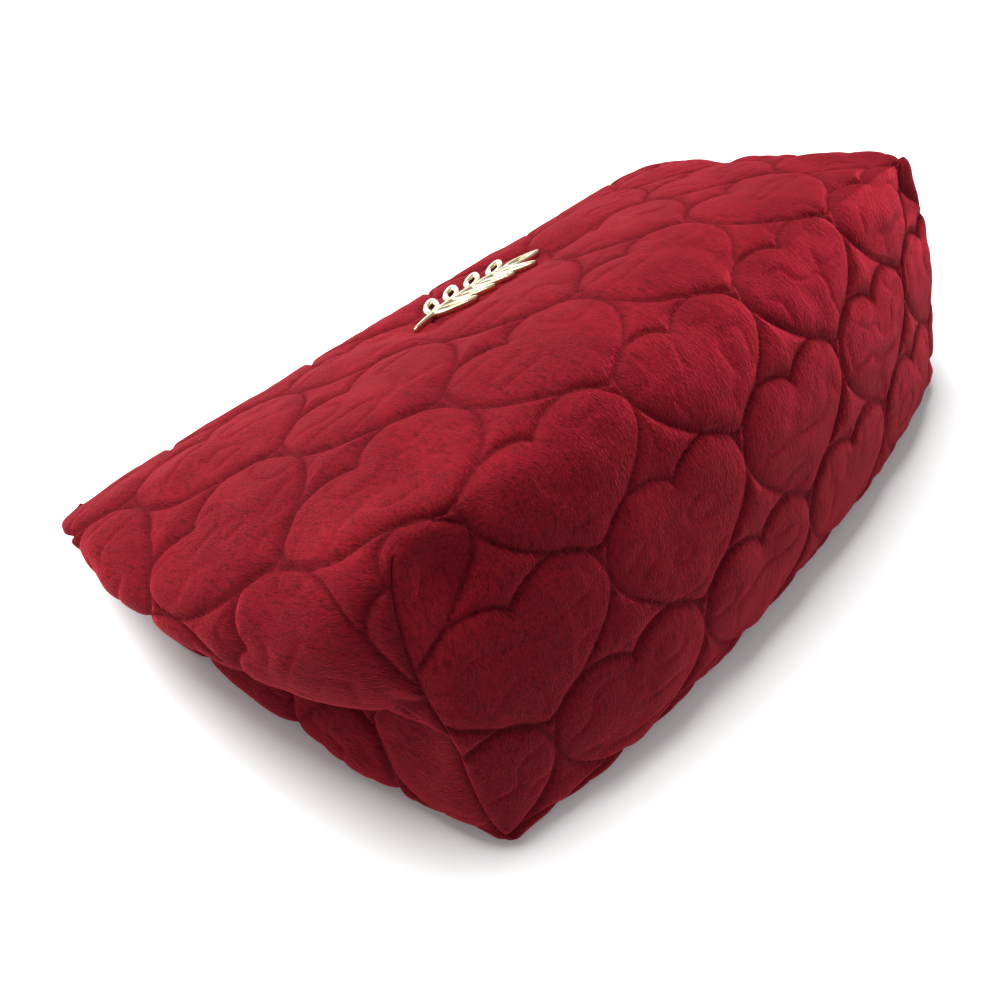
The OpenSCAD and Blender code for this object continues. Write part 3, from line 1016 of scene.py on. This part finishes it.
# Half the height of the patch under the sprig, and how far off its plane the cloth still belongs to it
SPRIG_HALF, SPRIG_REACH = 0.0075, 0.012


def pressed(points, ornament, low, high, margin):
    """Points near the sprig brought between two heights over its plane."""
    axes = sprig_axes(ornament)
    local = (points - np.array(ornament.place)) @ axes.T
    past_end = np.maximum(np.abs(local[:, 0]) - 0.50 * ornament.long, 0)
    past_side = np.maximum(np.abs(local[:, 1]) - SPRIG_HALF, 0)
    off = np.hypot(past_end, past_side)
    near = (1 - smoothstep(off / margin)) * (np.abs(local[:, 2]) < SPRIG_REACH)
    level = np.clip(local[:, 2], low, high)
    return points + (near * (level - local[:, 2]))[:, None] * axes[2]


# Where the cloth is kept flat for the pull: from this far along the zip, this far up and down, under this Y
PULL_ROOM_X, PULL_ROOM_Z, PULL_ROOM_Y = 0.094, 0.0045, 0.0687


def room_for_pull(points, shape):
    """The ends kept flat beside the zip, where the pull swings over them."""
    near = smoothstep((np.abs(points[:, 0]) - PULL_ROOM_X) / 0.008)
    near *= 1 - smoothstep((np.abs(points[:, 2] - shape.zip_z) - PULL_ROOM_Z) / 0.003)
    over = np.maximum(points[:, 1] - PULL_ROOM_Y, 0)
    return points - (near * over)[:, None] * [0.0, 1.0, 0.0]


# Distances from a stitch over which the cloth's edge, crown, wrinkles and the painted shade in the channels
# come and go
EDGE_RUN, CROWN_RUN, WRINKLE_RUN, CHANNEL_SHADE_RUN = 0.0011, 0.0065, 0.003, 0.0007
# Wrinkles of the cloth: height, size and seed
WAVES = ((0.00055, 0.016, 3), (0.0003, 0.0065, 5))
CREASE = (0.0005, 0.010, 8)


def quilt_cloth(points, normals, sheet, seam, hem, quilt, fold_v):
    """The cloth's final points, and how deep in a channel each one is, which masks the painted channel
    shade.
    """
    stitch = stitch_distance(sheet, fold_v, quilt)
    gap = np.minimum(stitch, np.minimum(seam * 1.05, hem * 0.35 + 0.0005))
    rise = quilt.crisp * (1 - np.exp(-gap / EDGE_RUN)) + quilt.puff * (1 - np.exp(-gap / CROWN_RUN))
    body = 1 - np.exp(-gap / WRINKLE_RUN)
    wave = sum(height * ripple(points, size, seed) for height, size, seed in WAVES)
    depth, size, seed = CREASE
    crease = depth * (1 - np.abs(ripple(points * [1.0, 1.6, 1.6], size, seed))) ** 6
    lift = rise - quilt.sink + body * (wave - crease)
    return points + normals * lift[:, None], np.exp(-gap / CHANNEL_SHADE_RUN)


def cut_piece(name, arrays, keep, depth, layers):
    """A piece from the chosen faces, with its sheet layer and the channel attribute that masks the painted
    channel shade.
    """
    points, faces = arrays
    chosen = faces[keep]
    used, renumbered = np.unique(chosen, return_inverse=True)
    obj = mesh_object(name, points[used], renumbered.reshape(-1, 4))
    mesh = obj.data
    picked = layers["sheet"].reshape(-1, 4, 2)[keep]
    mesh.uv_layers.new(name="sheet").data.foreach_set("uv", picked.astype(np.float32).ravel())
    # Mask of the painted shade: how deep in a stitched channel each point lies
    channel = mesh.attributes.new("channel", "FLOAT", "POINT")
    channel.data.foreach_set("value", depth[used].astype(np.float32))
    return obj


def cloth_shell():
    """The filled-out shell, made once for all the cloth pieces."""
    if "shell" not in SHELL:
        scene = bpy.context.scene
        patches = rough_shell(scene.bag_shape)
        SHELL["fold_v"] = float(patches[1][2][0, 0, 1])
        shell = join_patches(patches)
        rounded_off(shell, 10)
        print("cloth moved at most", round(fill_out(shell, scene.bag_fill) / MM, 2), "mm")
        settle_shell(shell, scene.bag_shape, scene.bag_ornament)
        SHELL["shell"] = shell
    return SHELL["shell"]


def drop_shell():
    """Takes the shell out of the scene when all the cloth is made."""
    shell = SHELL.pop("shell", None)
    if shell:
        bpy.data.objects.remove(shell)


def both_sides():
    """The bag's two sides: a name and the sign of X."""
    return (("left", -1), ("right", 1))


def bend_front(obj):
    """Bakes the piece's placement into its points."""
    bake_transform(obj)


class BAG_OT_cover(bpy.types.Operator):
    """Quilted plush cover"""

    bl_idname = "makeup_bag.cover"
    bl_label = "Plush Cover"

    def execute(self, context):
        scene = context.scene
        mesh = refined(cloth_shell(), 3, "cover")
        points, normals, faces, kinds, layers = mesh_arrays(mesh)
        count = len(points)
        seam = at_points(count, faces, layers["seam"][:, 0], np.minimum)
        hem = at_points(count, faces, layers["seam"][:, 1], np.minimum)
        sheet = np.zeros((count, 2))
        sheet[faces.ravel()] = layers["sheet"]
        # channel is the mask of the painted shade in the stitched channels
        moved, channel = quilt_cloth(points, normals, sheet, seam, hem, scene.bag_quilt, SHELL["fold_v"])
        moved = pressed(moved, scene.bag_ornament, -0.0006, 0.00015, 0.004)
        moved = room_for_pull(moved, scene.bag_shape)
        moved[:, 2] = above(moved[:, 2], 0.00015, 0.0005)
        arrays = (moved, faces)
        middle = moved[faces].mean(axis=1)
        for name, side in both_sides():
            keep = (kinds == FRONT) & (middle[:, 0] * side > 0)
            piece = cut_piece(f"plush_front_{name}", arrays, keep, channel, layers)
            settle(piece, "plush", replaces=("cover_front",))
            bend_front(piece)
        for name, wanted, nodes in (
            ("plush_base", (BASE,), ("cover_base_back",)),
            ("plush_back", (BACK,), ("cover_base_back",)),
            ("plush_left_end", (LEFT_UP, LEFT_DOWN), ("cover_left_end",)),
            ("plush_right_end", (RIGHT_UP, RIGHT_DOWN), ("cover_right_end",)),
        ):
            piece = cut_piece(name, arrays, np.isin(kinds, wanted), channel, layers)
            settle(piece, "plush", "bag", nodes)
        return {"FINISHED"}


def layer_arrays():
    """The plain shell, split once, that the inner layers are offset from."""
    if "layer" not in SHELL:
        mesh = refined(cloth_shell(), 1, "layer")
        SHELL["layer"] = mesh_arrays(mesh)
    return SHELL["layer"]


def layer_piece(name, keep, outer, inner, trim, seam_trim):
    """A closed layer between two depths under the shell, for the chosen faces."""
    points, normals, faces, kinds, layers = layer_arrays()
    seam = at_points(len(points), faces, layers["seam"][:, 0], np.minimum)
    hem = at_points(len(points), faces, layers["seam"][:, 1], np.minimum)
    face_seam, face_hem = seam[faces].min(axis=1), hem[faces].min(axis=1)
    corner_clear = 0.008
    inside_end = (face_seam >= seam_trim) & (face_hem >= corner_clear + seam_trim)
    clear = (face_hem >= trim) & ((kinds <= BACK) | inside_end)
    chosen = faces[keep & clear]
    used, renumbered = np.unique(chosen, return_inverse=True)
    cells = renumbered.reshape(-1, 4)
    count = len(used)
    top, bottom = points[used] - normals[used] * outer, points[used] - normals[used] * inner
    edges = {}
    for face in cells:
        for a, b in zip(face, np.roll(face, -1)):
            if (b, a) in edges:
                del edges[b, a]
            else:
                edges[a, b] = True
    walls = [[b, a, a + count, b + count] for a, b in edges]
    obj = mesh_object(name, np.vstack([top, bottom]), [*cells, *(cells[:, ::-1] + count), *walls])
    layer = obj.data.uv_layers.new(name="sheet")
    sheet = np.zeros((len(points), 2))
    sheet[faces.ravel()] = layers["sheet"]
    corners = np.empty(len(obj.data.loops), np.int32)
    obj.data.loops.foreach_get("vertex_index", corners)
    layer.data.foreach_set("uv", np.tile(sheet[used], (2, 1))[corners].astype(np.float32).ravel())
    quad = top[cells]
    area = 0.5 * np.linalg.norm(np.cross(quad[:, 2] - quad[:, 0], quad[:, 3] - quad[:, 1]), axis=1).sum()
    return outward(obj), float(area)


# Depths of an inner layer's two faces under the shell, and its trims from the hems and the side seams
WADDING_LAYER = (0.0029, 0.0043, (0.006, 0.009))
SATIN_LAYER = (0.0045, 0.0048, (0.003, 0.003))
# The bound seam allowance: how far inside the seam it stands, its width and its thickness
BINDING_IN, BINDING_WIDE, BINDING_THICK = 0.0095, 0.0062, 0.0013


def inner_layers(prefix, slot, outer, inner, trims, group, declare):
    """One inner layer of the whole bag: two front halves, base and back, and the ends."""
    points, _, faces, kinds, _ = layer_arrays()
    middle = points[faces].mean(axis=1)
    for name, side in both_sides():
        keep = (kinds == FRONT) & (middle[:, 0] * side > 0)
        piece, area = layer_piece(f"{prefix}_front_{name}", keep, outer, inner, *trims)
        settle(piece, slot, replaces=(f"{group}_front",))
        bend_front(piece)
        declare(piece, area, (0.125, 0.108))
    for name, wanted, node, flat in (
        ("base_back", (BASE, BACK), "base_back", (0.25, 0.215)),
        ("left_end", (LEFT_UP, LEFT_DOWN), "left_end", (0.070, 0.110)),
        ("right_end", (RIGHT_UP, RIGHT_DOWN), "right_end", (0.070, 0.110)),
    ):
        piece, area = layer_piece(f"{prefix}_{name}", np.isin(kinds, wanted), outer, inner, *trims)
        settle(piece, slot, "bag", (f"{group}_{node}",))
        declare(piece, area, flat)


class BAG_OT_wadding(bpy.types.Operator):
    """Padding under the plush"""

    bl_idname = "makeup_bag.wadding"
    bl_label = "Wadding"

    def execute(self, context):
        def declare(piece, area, flat):
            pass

        inner_layers("fill", "wadding", *WADDING_LAYER, "wadding", declare)
        return {"FINISHED"}


class BAG_OT_lining(bpy.types.Operator):
    """Satin lining and the bound seams inside it"""

    bl_idname = "makeup_bag.lining"
    bl_label = "Lining"

    def execute(self, context):
        def declare(piece, area, flat):
            min(area, 0.999 * flat[0] * flat[1])

        inner_layers("satin", "lining", *SATIN_LAYER, "lining", declare)
        for name, side in both_sides():
            seam = SHELL["side_seams"][side][3:-2] - [side * BINDING_IN, 0, 0]
            step = np.gradient(seam, axis=0)
            step /= np.linalg.norm(step, axis=1, keepdims=True)
            across = np.cross(step, [1.0, 0, 0])
            across /= np.linalg.norm(across, axis=1, keepdims=True)
            inwards = np.cross(across, step)
            ring = rounded(BINDING_WIDE, BINDING_THICK, 0.0006, 3)
            points = [p + i * a + c * b for p, i, c in zip(seam, inwards, across) for a, b in ring]
            obj = outward(mesh_object(f"binding_{name}", points, tube_faces(len(seam), len(ring))))
            settle(obj, "tape", "bag", (f"seam_binding_{name}",))
        return {"FINISHED"}


def tape_strip(name, zipper, beaded, plain, span):
    """A strip of woven tape with a corded edge, between two places along X."""
    low, high = span
    count = max(2, int((high - low) / 0.0016))
    x = np.linspace(low, high, count + 1)
    t = zipper.tape_thick / 2
    way = 1 if plain > beaded else -1
    body = abs(plain - beaded)
    cord = [(0.0, 0.00055), (0.0005, 0.0008), (0.0011, 0.00055)]
    top = [*cord, (0.0016, t), (body * 0.6, t), (body, t * 0.8)]
    ring = [*top, *mirrored(top, y=-1)]
    points = []
    for value in x:
        # The strip wavers a little along its length
        sway = 0.00012 * math.sin(value * 310) + 0.00008 * math.sin(value * 790 + 1)
        for z, y in ring:
            points.append((value, zipper.tape_y + y + sway * z / body, beaded + way * z))
    return outward(mesh_object(name, points, tube_faces(count + 1, len(ring))))


def tooth_row(name, zipper, zip_z, way, span):
    """Moulded metal teeth clenched on a tape's edge, between two places along X."""
    start = -zipper.teeth_half + (0 if way > 0 else zipper.pitch / 2)
    wide, thick = zipper.tooth_wide, zipper.tooth_thick
    head, foot = -0.0005, zipper.gap + 0.0012
    knob = [(0.84, head), (1.0, head + 0.0004), (0.96, head + 0.0011), (0.80, head + 0.0016)]
    flank = [*knob, (0.84, zipper.gap), (0.92, foot)]
    outline = [(wide * a, b) for a, b in (*flank, *((1 - a, b) for a, b in reversed(flank)))]
    place = turned(FACING_ZIP, (0, zipper.tape_y, 0))
    parts = []
    for i in range(int(2 * zipper.teeth_half / zipper.pitch)):
        x = start + i * zipper.pitch
        if not span[0] <= x + wide / 2 < span[1]:
            continue
        flat = [(x + a, zip_z + way * b) for a, b in outline]
        if way < 0:
            flat = flat[::-1]
        parts.append(prism(flat, -thick / 2, thick / 2, 0.00022, place, 2))
    return outward(mesh_object(name, *joined(parts)))


# Widths of the tapes that show, and the size and half thickness of the cloth tabs at the zip's ends
FRONT_TAPE, BACK_TAPE = 0.0042, 0.0032
TAB_WIDE, TAB_HALF = 0.0058, 0.0007


class BAG_OT_zip(bpy.types.Operator):
    """Zip tapes, teeth, front top stop and end tabs"""

    bl_idname = "makeup_bag.zip"
    bl_label = "Zip"

    def execute(self, context):
        zipper, zip_z = context.scene.bag_zip, context.scene.bag_shape.zip_z
        front_edge, back_edge = zip_z + zipper.gap, zip_z - zipper.gap
        whole = (-zipper.tape_half, zipper.tape_half)
        place = turned(FACING_ZIP, (0, zipper.tape_y, 0))
        for name, side in both_sides():
            span = (whole[0], 0.0) if side < 0 else (0.0, whole[1])
            tape = tape_strip(f"tape_front_{name}", zipper, front_edge, front_edge + FRONT_TAPE, span)
            teeth = tooth_row(f"teeth_front_{name}", zipper, zip_z, 1, span)
            settle(tape, "tape", replaces=("zip_tape_front",))
            settle(teeth, "zip_gold", replaces=("zip_teeth_front",), smooth=False)
            bend_front(tape)
            bend_front(teeth)
        tape = tape_strip("tape_back", zipper, back_edge, back_edge - BACK_TAPE, whole)
        settle(tape, "tape", "bag", ("zip_tape_back",))
        teeth = tooth_row("teeth_back", zipper, zip_z, -1, whole)
        settle(teeth, "zip_gold", "bag", ("zip_teeth_back",), smooth=False)

        half = zipper.tooth_thick / 2
        outline = rounded(0.0018, 0.0024, 0.0005, 3, (zipper.slider_x + 0.0062, front_edge + 0.0005))
        stop = outward(mesh_object("top_stop_front", *prism(outline, -half, half, 0.0003, place)))
        settle(stop, "zip_gold", replaces=("zip_top_stop_front",))
        bend_front(stop)
        for name, side in both_sides():
            outline = rounded(TAB_WIDE, TAB_WIDE, 0.0012, 4, (side * (zipper.tape_half + 0.0035), zip_z))
            tab = prism(outline, -TAB_HALF, TAB_HALF, 0.0006, place)
            obj = outward(mesh_object(f"end_tab_{name}", *tab))
            settle(obj, "plush", "bag", (f"zip_end_tab_{name}",))
        return {"FINISHED"}


def slider_parts(zipper, zip_z):
    """The slider: two plates, the rails that grip the tapes, the wedge between them and the bail."""
    long, wide = zipper.slider_long, zipper.slider_wide
    centre = (zipper.slider_x, zipper.tape_y, zip_z)
    place = turned(FACING_ZIP, centre)
    heel = [(-0.5, -0.34), (-0.47, -0.42), (-0.40, -0.46), (0.10, -0.50)]
    edge = [*heel, (0.38, -0.50), (0.48, -0.44), (0.5, -0.34), (0.46, -0.14)]
    plate = [(long * a, wide * b) for a, b in (*edge, (0.42, 0.0), *mirrored(edge, y=-1))]
    inner, outer, bevel = 0.0015, 0.0027, 0.0004
    parts = [prism(plate, inner, outer, bevel, place), prism(plate, -outer, -inner, bevel, place)]
    low, high, bevel = 0.0007, 0.0018, 0.0002
    for side in (-1, 1):
        rail = rounded(long * 0.86, 0.0010, 0.00045, 3, (-0.0002, side * (wide / 2 - 0.0006)))
        parts.append(prism(rail, -high, -low, bevel, place, 2))
        parts.append(prism(rail, low, high, bevel, place, 2))
    wedge = rounded(0.0018, 0.0018, 0.0006, 4, (long / 2 - 0.0017, 0))
    parts.append(prism(wedge, -0.0016, 0.0016, bevel, place, 2))
    arm = [(-0.0030, 0.0024), (-0.0031, 0.0040), (-0.0026, 0.0050), (-0.0015, 0.0054)]
    bail = along([*arm, *mirrored(arm, x=-1)], np.linspace(0, 1, 20))
    bail_half = 0.0008
    under = turned(UPRIGHT, (centre[0], centre[1], centre[2] - bail_half))
    return [*parts, swept(bail, 0.00042, bail_half, under)]


def pull_parts(zipper, zip_z):
    """The pull: a round-ended tab with a rim on each face, its two arms and the pin between them."""
    eye = (zipper.slider_x, zipper.eye_y, zip_z)
    place = turned(FACING_ZIP, eye)
    thick, bevel = 0.0007, 0.0003
    half = zipper.pull_wide / 2
    end = -zipper.pull_long + half
    neck = [(-0.0072, -half), (-0.0062, -half * 0.86)]
    parts = [prism([*half_round(end, half), *neck, *mirrored(neck, y=-1)], -thick, thick, bevel, place)]
    rim_in, rim_end, rim_half = 0.0011, -0.0084, 0.000225
    rim = [*half_round(end, half - rim_in), (rim_end, -half + rim_in), (rim_end, half - rim_in)]
    for level in (-0.00095, 0.00050):
        lifted = turned(FACING_ZIP, (eye[0], eye[1] - level - rim_half, eye[2]))
        parts.append(swept(rim, 0.00032, rim_half, lifted, closed=True))
    reach = half - 0.0012
    for side in (-1, 1):
        arm = rounded(0.0074, 0.0012, 0.0005, 4, (-0.0027, side * reach))
        parts.append(prism(arm, -thick, thick, bevel, place))
    a = np.linspace(0, 2 * math.pi, 14, endpoint=False)
    pin = 0.0006 * np.column_stack([np.cos(a), np.sin(a)])
    return [*parts, prism(pin, -reach, reach, 0.0001, turned(UPRIGHT, eye), 1)]


class BAG_OT_slider(bpy.types.Operator):
    """Zip slider and its pull"""

    bl_idname = "makeup_bag.slider"
    bl_label = "Slider"

    def execute(self, context):
        zipper, zip_z = context.scene.bag_zip, context.scene.bag_shape.zip_z
        slider = outward(mesh_object("slider", *joined(slider_parts(zipper, zip_z))))
        settle(slider, "zip_gold", "slider", ("zip_slider",))
        pull = outward(mesh_object("pull", *joined(pull_parts(zipper, zip_z))))
        settle(pull, "zip_gold", "pull", ("pull_tab",))
        return {"FINISHED"}


# Along the sprig, where its first pair of leaves starts, and from one pair to the next
FIRST_LEAF, LEAF_PITCH = -0.0185, 0.0092


class BAG_OT_ornament(bpy.types.Operator):
    """Gold leaf sprig"""

    bl_idname = "makeup_bag.ornament"
    bl_label = "Ornament"

    def execute(self, context):
        sprig = context.scene.bag_ornament
        axes = sprig_axes(sprig)
        place = turned(axes, np.array(sprig.place) + axes[2] * 0.0001)
        foot, tip = -sprig.long / 2, sprig.long / 2 - sprig.leaf_long

        def stem_at(x):
            """How far up the stem's arc lies at a place along it."""
            return math.sqrt(sprig.bend**2 - x * x) - sprig.bend + 0.002

        rise = sprig.thick / 2
        x = np.linspace(foot, tip + 0.001, 40)
        path = np.column_stack([x, [stem_at(value) for value in x]])
        taper = 0.35 + 0.65 * np.clip((x - foot) / 0.010, 0, 1) ** 0.6
        parts = [swept(path, sprig.stem_wide / 2 * taper, rise * (0.7 + 0.3 * taper), place)]

        def leaf(root, turn):
            """An open leaf: a rounded bar bent into a pointed loop."""
            long, wide = sprig.leaf_long, sprig.leaf_wide - 0.0013
            f = np.linspace(0, 1, 25)
            belly = np.sin(np.pi * f ** 0.85) ** 0.9
            upper = np.column_stack([0.0004 + f * (long - 0.0010), wide / 2 * belly])
            lower = (upper * [1, -1])[-2:0:-1]
            loop = np.vstack([upper, lower])
            weight = 0.00072 + 0.00035 * np.abs(np.cos(np.pi * np.concatenate([f, f[-2:0:-1]])))
            c, s = math.cos(math.radians(turn)), math.sin(math.radians(turn))
            loop = loop @ np.array([[c, s], [-s, c]]) + root
            return swept(loop, weight, rise, place, closed=True)

        for i in range(sprig.pairs):
            x = FIRST_LEAF + LEAF_PITCH * i
            for side in (-1, 1):
                parts.append(leaf((x, stem_at(x)), side * sprig.lean - x / MM / 2))
        parts.append(leaf((tip, stem_at(tip)), -tip / MM / 1.6))
        obj = outward(mesh_object("leaf_sprig", *joined(parts)))
        settle(obj, "emblem_gold", "front_panel", ("emblem",))
        return {"FINISHED"}


class BAG_OT_fittings(bpy.types.Operator):
    """Finishes of the small solid parts that stay as they are"""

    bl_idname = "makeup_bag.fittings"
    bl_label = "Fittings"

    def execute(self, context):
        for node in ("zip_top_stop_back", "zip_bottom_stop", "emblem_posts", "emblem_washers"):
            obj = bpy.data.objects[node]
            for slot in obj.material_slots:
                slot.material = finish_named("zip_gold")
        return {"FINISHED"}


class BAG_OT_stage(bpy.types.Operator):
    """Floor, lights and camera"""

    bl_idname = "makeup_bag.stage"
    bl_label = "Stage"

    def execute(self, context):
        scene = context.scene
        setup = scene.bag_stage
        floor = mesh_object("floor", [(-4, -4, 0), (4, -4, 0), (4, 4, 0), (-4, 4, 0)], [(0, 1, 2, 3)])
        pale = Shade("pale_floor", Roughness=0.9, Specular_IOR_Level=0.1)
        cloud = pale.noise(pale.place(), 3, 2)
        pale.set(Base_Color=pale.mix(cloud, (0.93, 0.93, 0.93), (0.95, 0.95, 0.95)))
        floor.data.materials.append(pale.material)
        world = bpy.data.worlds.new("studio")
        world.use_nodes = True
        sky = world.node_tree.nodes["Background"].inputs
        sky["Color"].default_value = (1.0, 1.0, 1.0, 1.0)
        sky["Strength"].default_value = setup.daylight
        scene.world = world
        target = Vector((0, 0, 0.03))
        for name, place, power, size in (
            ("key", (-0.06, 0.60, 0.88), 28.0, 0.8),
            ("fill", (-0.80, -0.60, 0.55), 1.6, 0.9),
        ):
            lamp = bpy.data.lights.new(name, "AREA")
            lamp.energy, lamp.size = power, size
            obj = bpy.data.objects.new(name, lamp)
            obj.location = place
            obj.rotation_mode = "QUATERNION"
            obj.rotation_quaternion = (Vector(place) - target).to_track_quat("Z", "Y")
            scene.collection.objects.link(obj)
        azimuth, elevation, roll = (math.radians(a) for a in (setup.azimuth, setup.elevation, setup.roll))
        level = math.cos(elevation)
        back = Vector((math.sin(azimuth) * level, -math.cos(azimuth) * level, math.sin(elevation)))
        right = (-back).cross(Vector((0, 0, 1))).normalized()
        up = right.cross(-back)
        turned_right = right * math.cos(roll) + up * math.sin(roll)
        turned_up = up * math.cos(roll) - right * math.sin(roll)
        camera = bpy.data.objects.new("camera", bpy.data.cameras.new("camera"))
        camera.data.lens = setup.lens
        camera.data.clip_start = 0.01
        axes = Matrix((turned_right, turned_up, back)).transposed()
        camera.matrix_world = Matrix.Translation(Vector(setup.place)) @ axes.to_4x4()
        scene.collection.objects.link(camera)
        scene.camera = camera
        scene.view_settings.view_transform = "Standard"
        return {"FINISHED"}


class BAG_PT_panel(bpy.types.Panel):
    """Makeup bag builder"""

    bl_label = "Makeup Bag"
    bl_idname = "BAG_PT_panel"
    bl_space_type = "VIEW_3D"
    bl_region_type = "UI"
    bl_category = "Makeup Bag"

    def draw(self, context):
        column = self.layout.column(align=True)
        for operator in OPERATORS:
            column.operator(operator.bl_idname)
        for group, kind in GROUPS:
            settings = getattr(context.scene, group)
            for name in kind.__annotations__:
                self.layout.prop(settings, name)


OPERATORS = (
    BAG_OT_stage,
    BAG_OT_cover,
    BAG_OT_wadding,
    BAG_OT_lining,
    BAG_OT_zip,
    BAG_OT_slider,
    BAG_OT_ornament,
    BAG_OT_fittings,
)
GROUPS = (
    ("bag_shape", BagShape),
    ("bag_zip", ZipShape),
    ("bag_ornament", Ornament),
    ("bag_quilt", QuiltShape),
    ("bag_fill", FillShape),
    ("bag_colours", BagColours),
    ("bag_stage", StageSetup),
)


def register():
    """Adds the settings, the operators and the panel."""
    for name, kind in GROUPS:
        bpy.utils.register_class(kind)
        setattr(bpy.types.Scene, name, PointerProperty(type=kind))
    for kind in (*OPERATORS, BAG_PT_panel):
        bpy.utils.register_class(kind)


def unregister():
    """Takes them away again."""
    for kind in (BAG_PT_panel, *OPERATORS):
        bpy.utils.unregister_class(kind)
    for name, kind in GROUPS:
        delattr(bpy.types.Scene, name)
        bpy.utils.unregister_class(kind)


def main():
    """Builds the whole bag."""
    register()
    bpy.ops.makeup_bag.stage()
    bpy.ops.makeup_bag.cover()
    bpy.ops.makeup_bag.wadding()
    bpy.ops.makeup_bag.lining()
    drop_shell()
    bpy.ops.makeup_bag.zip()
    bpy.ops.makeup_bag.slider()
    bpy.ops.makeup_bag.ornament()
    bpy.ops.makeup_bag.fittings()


if __name__ == "__main__":
    main()
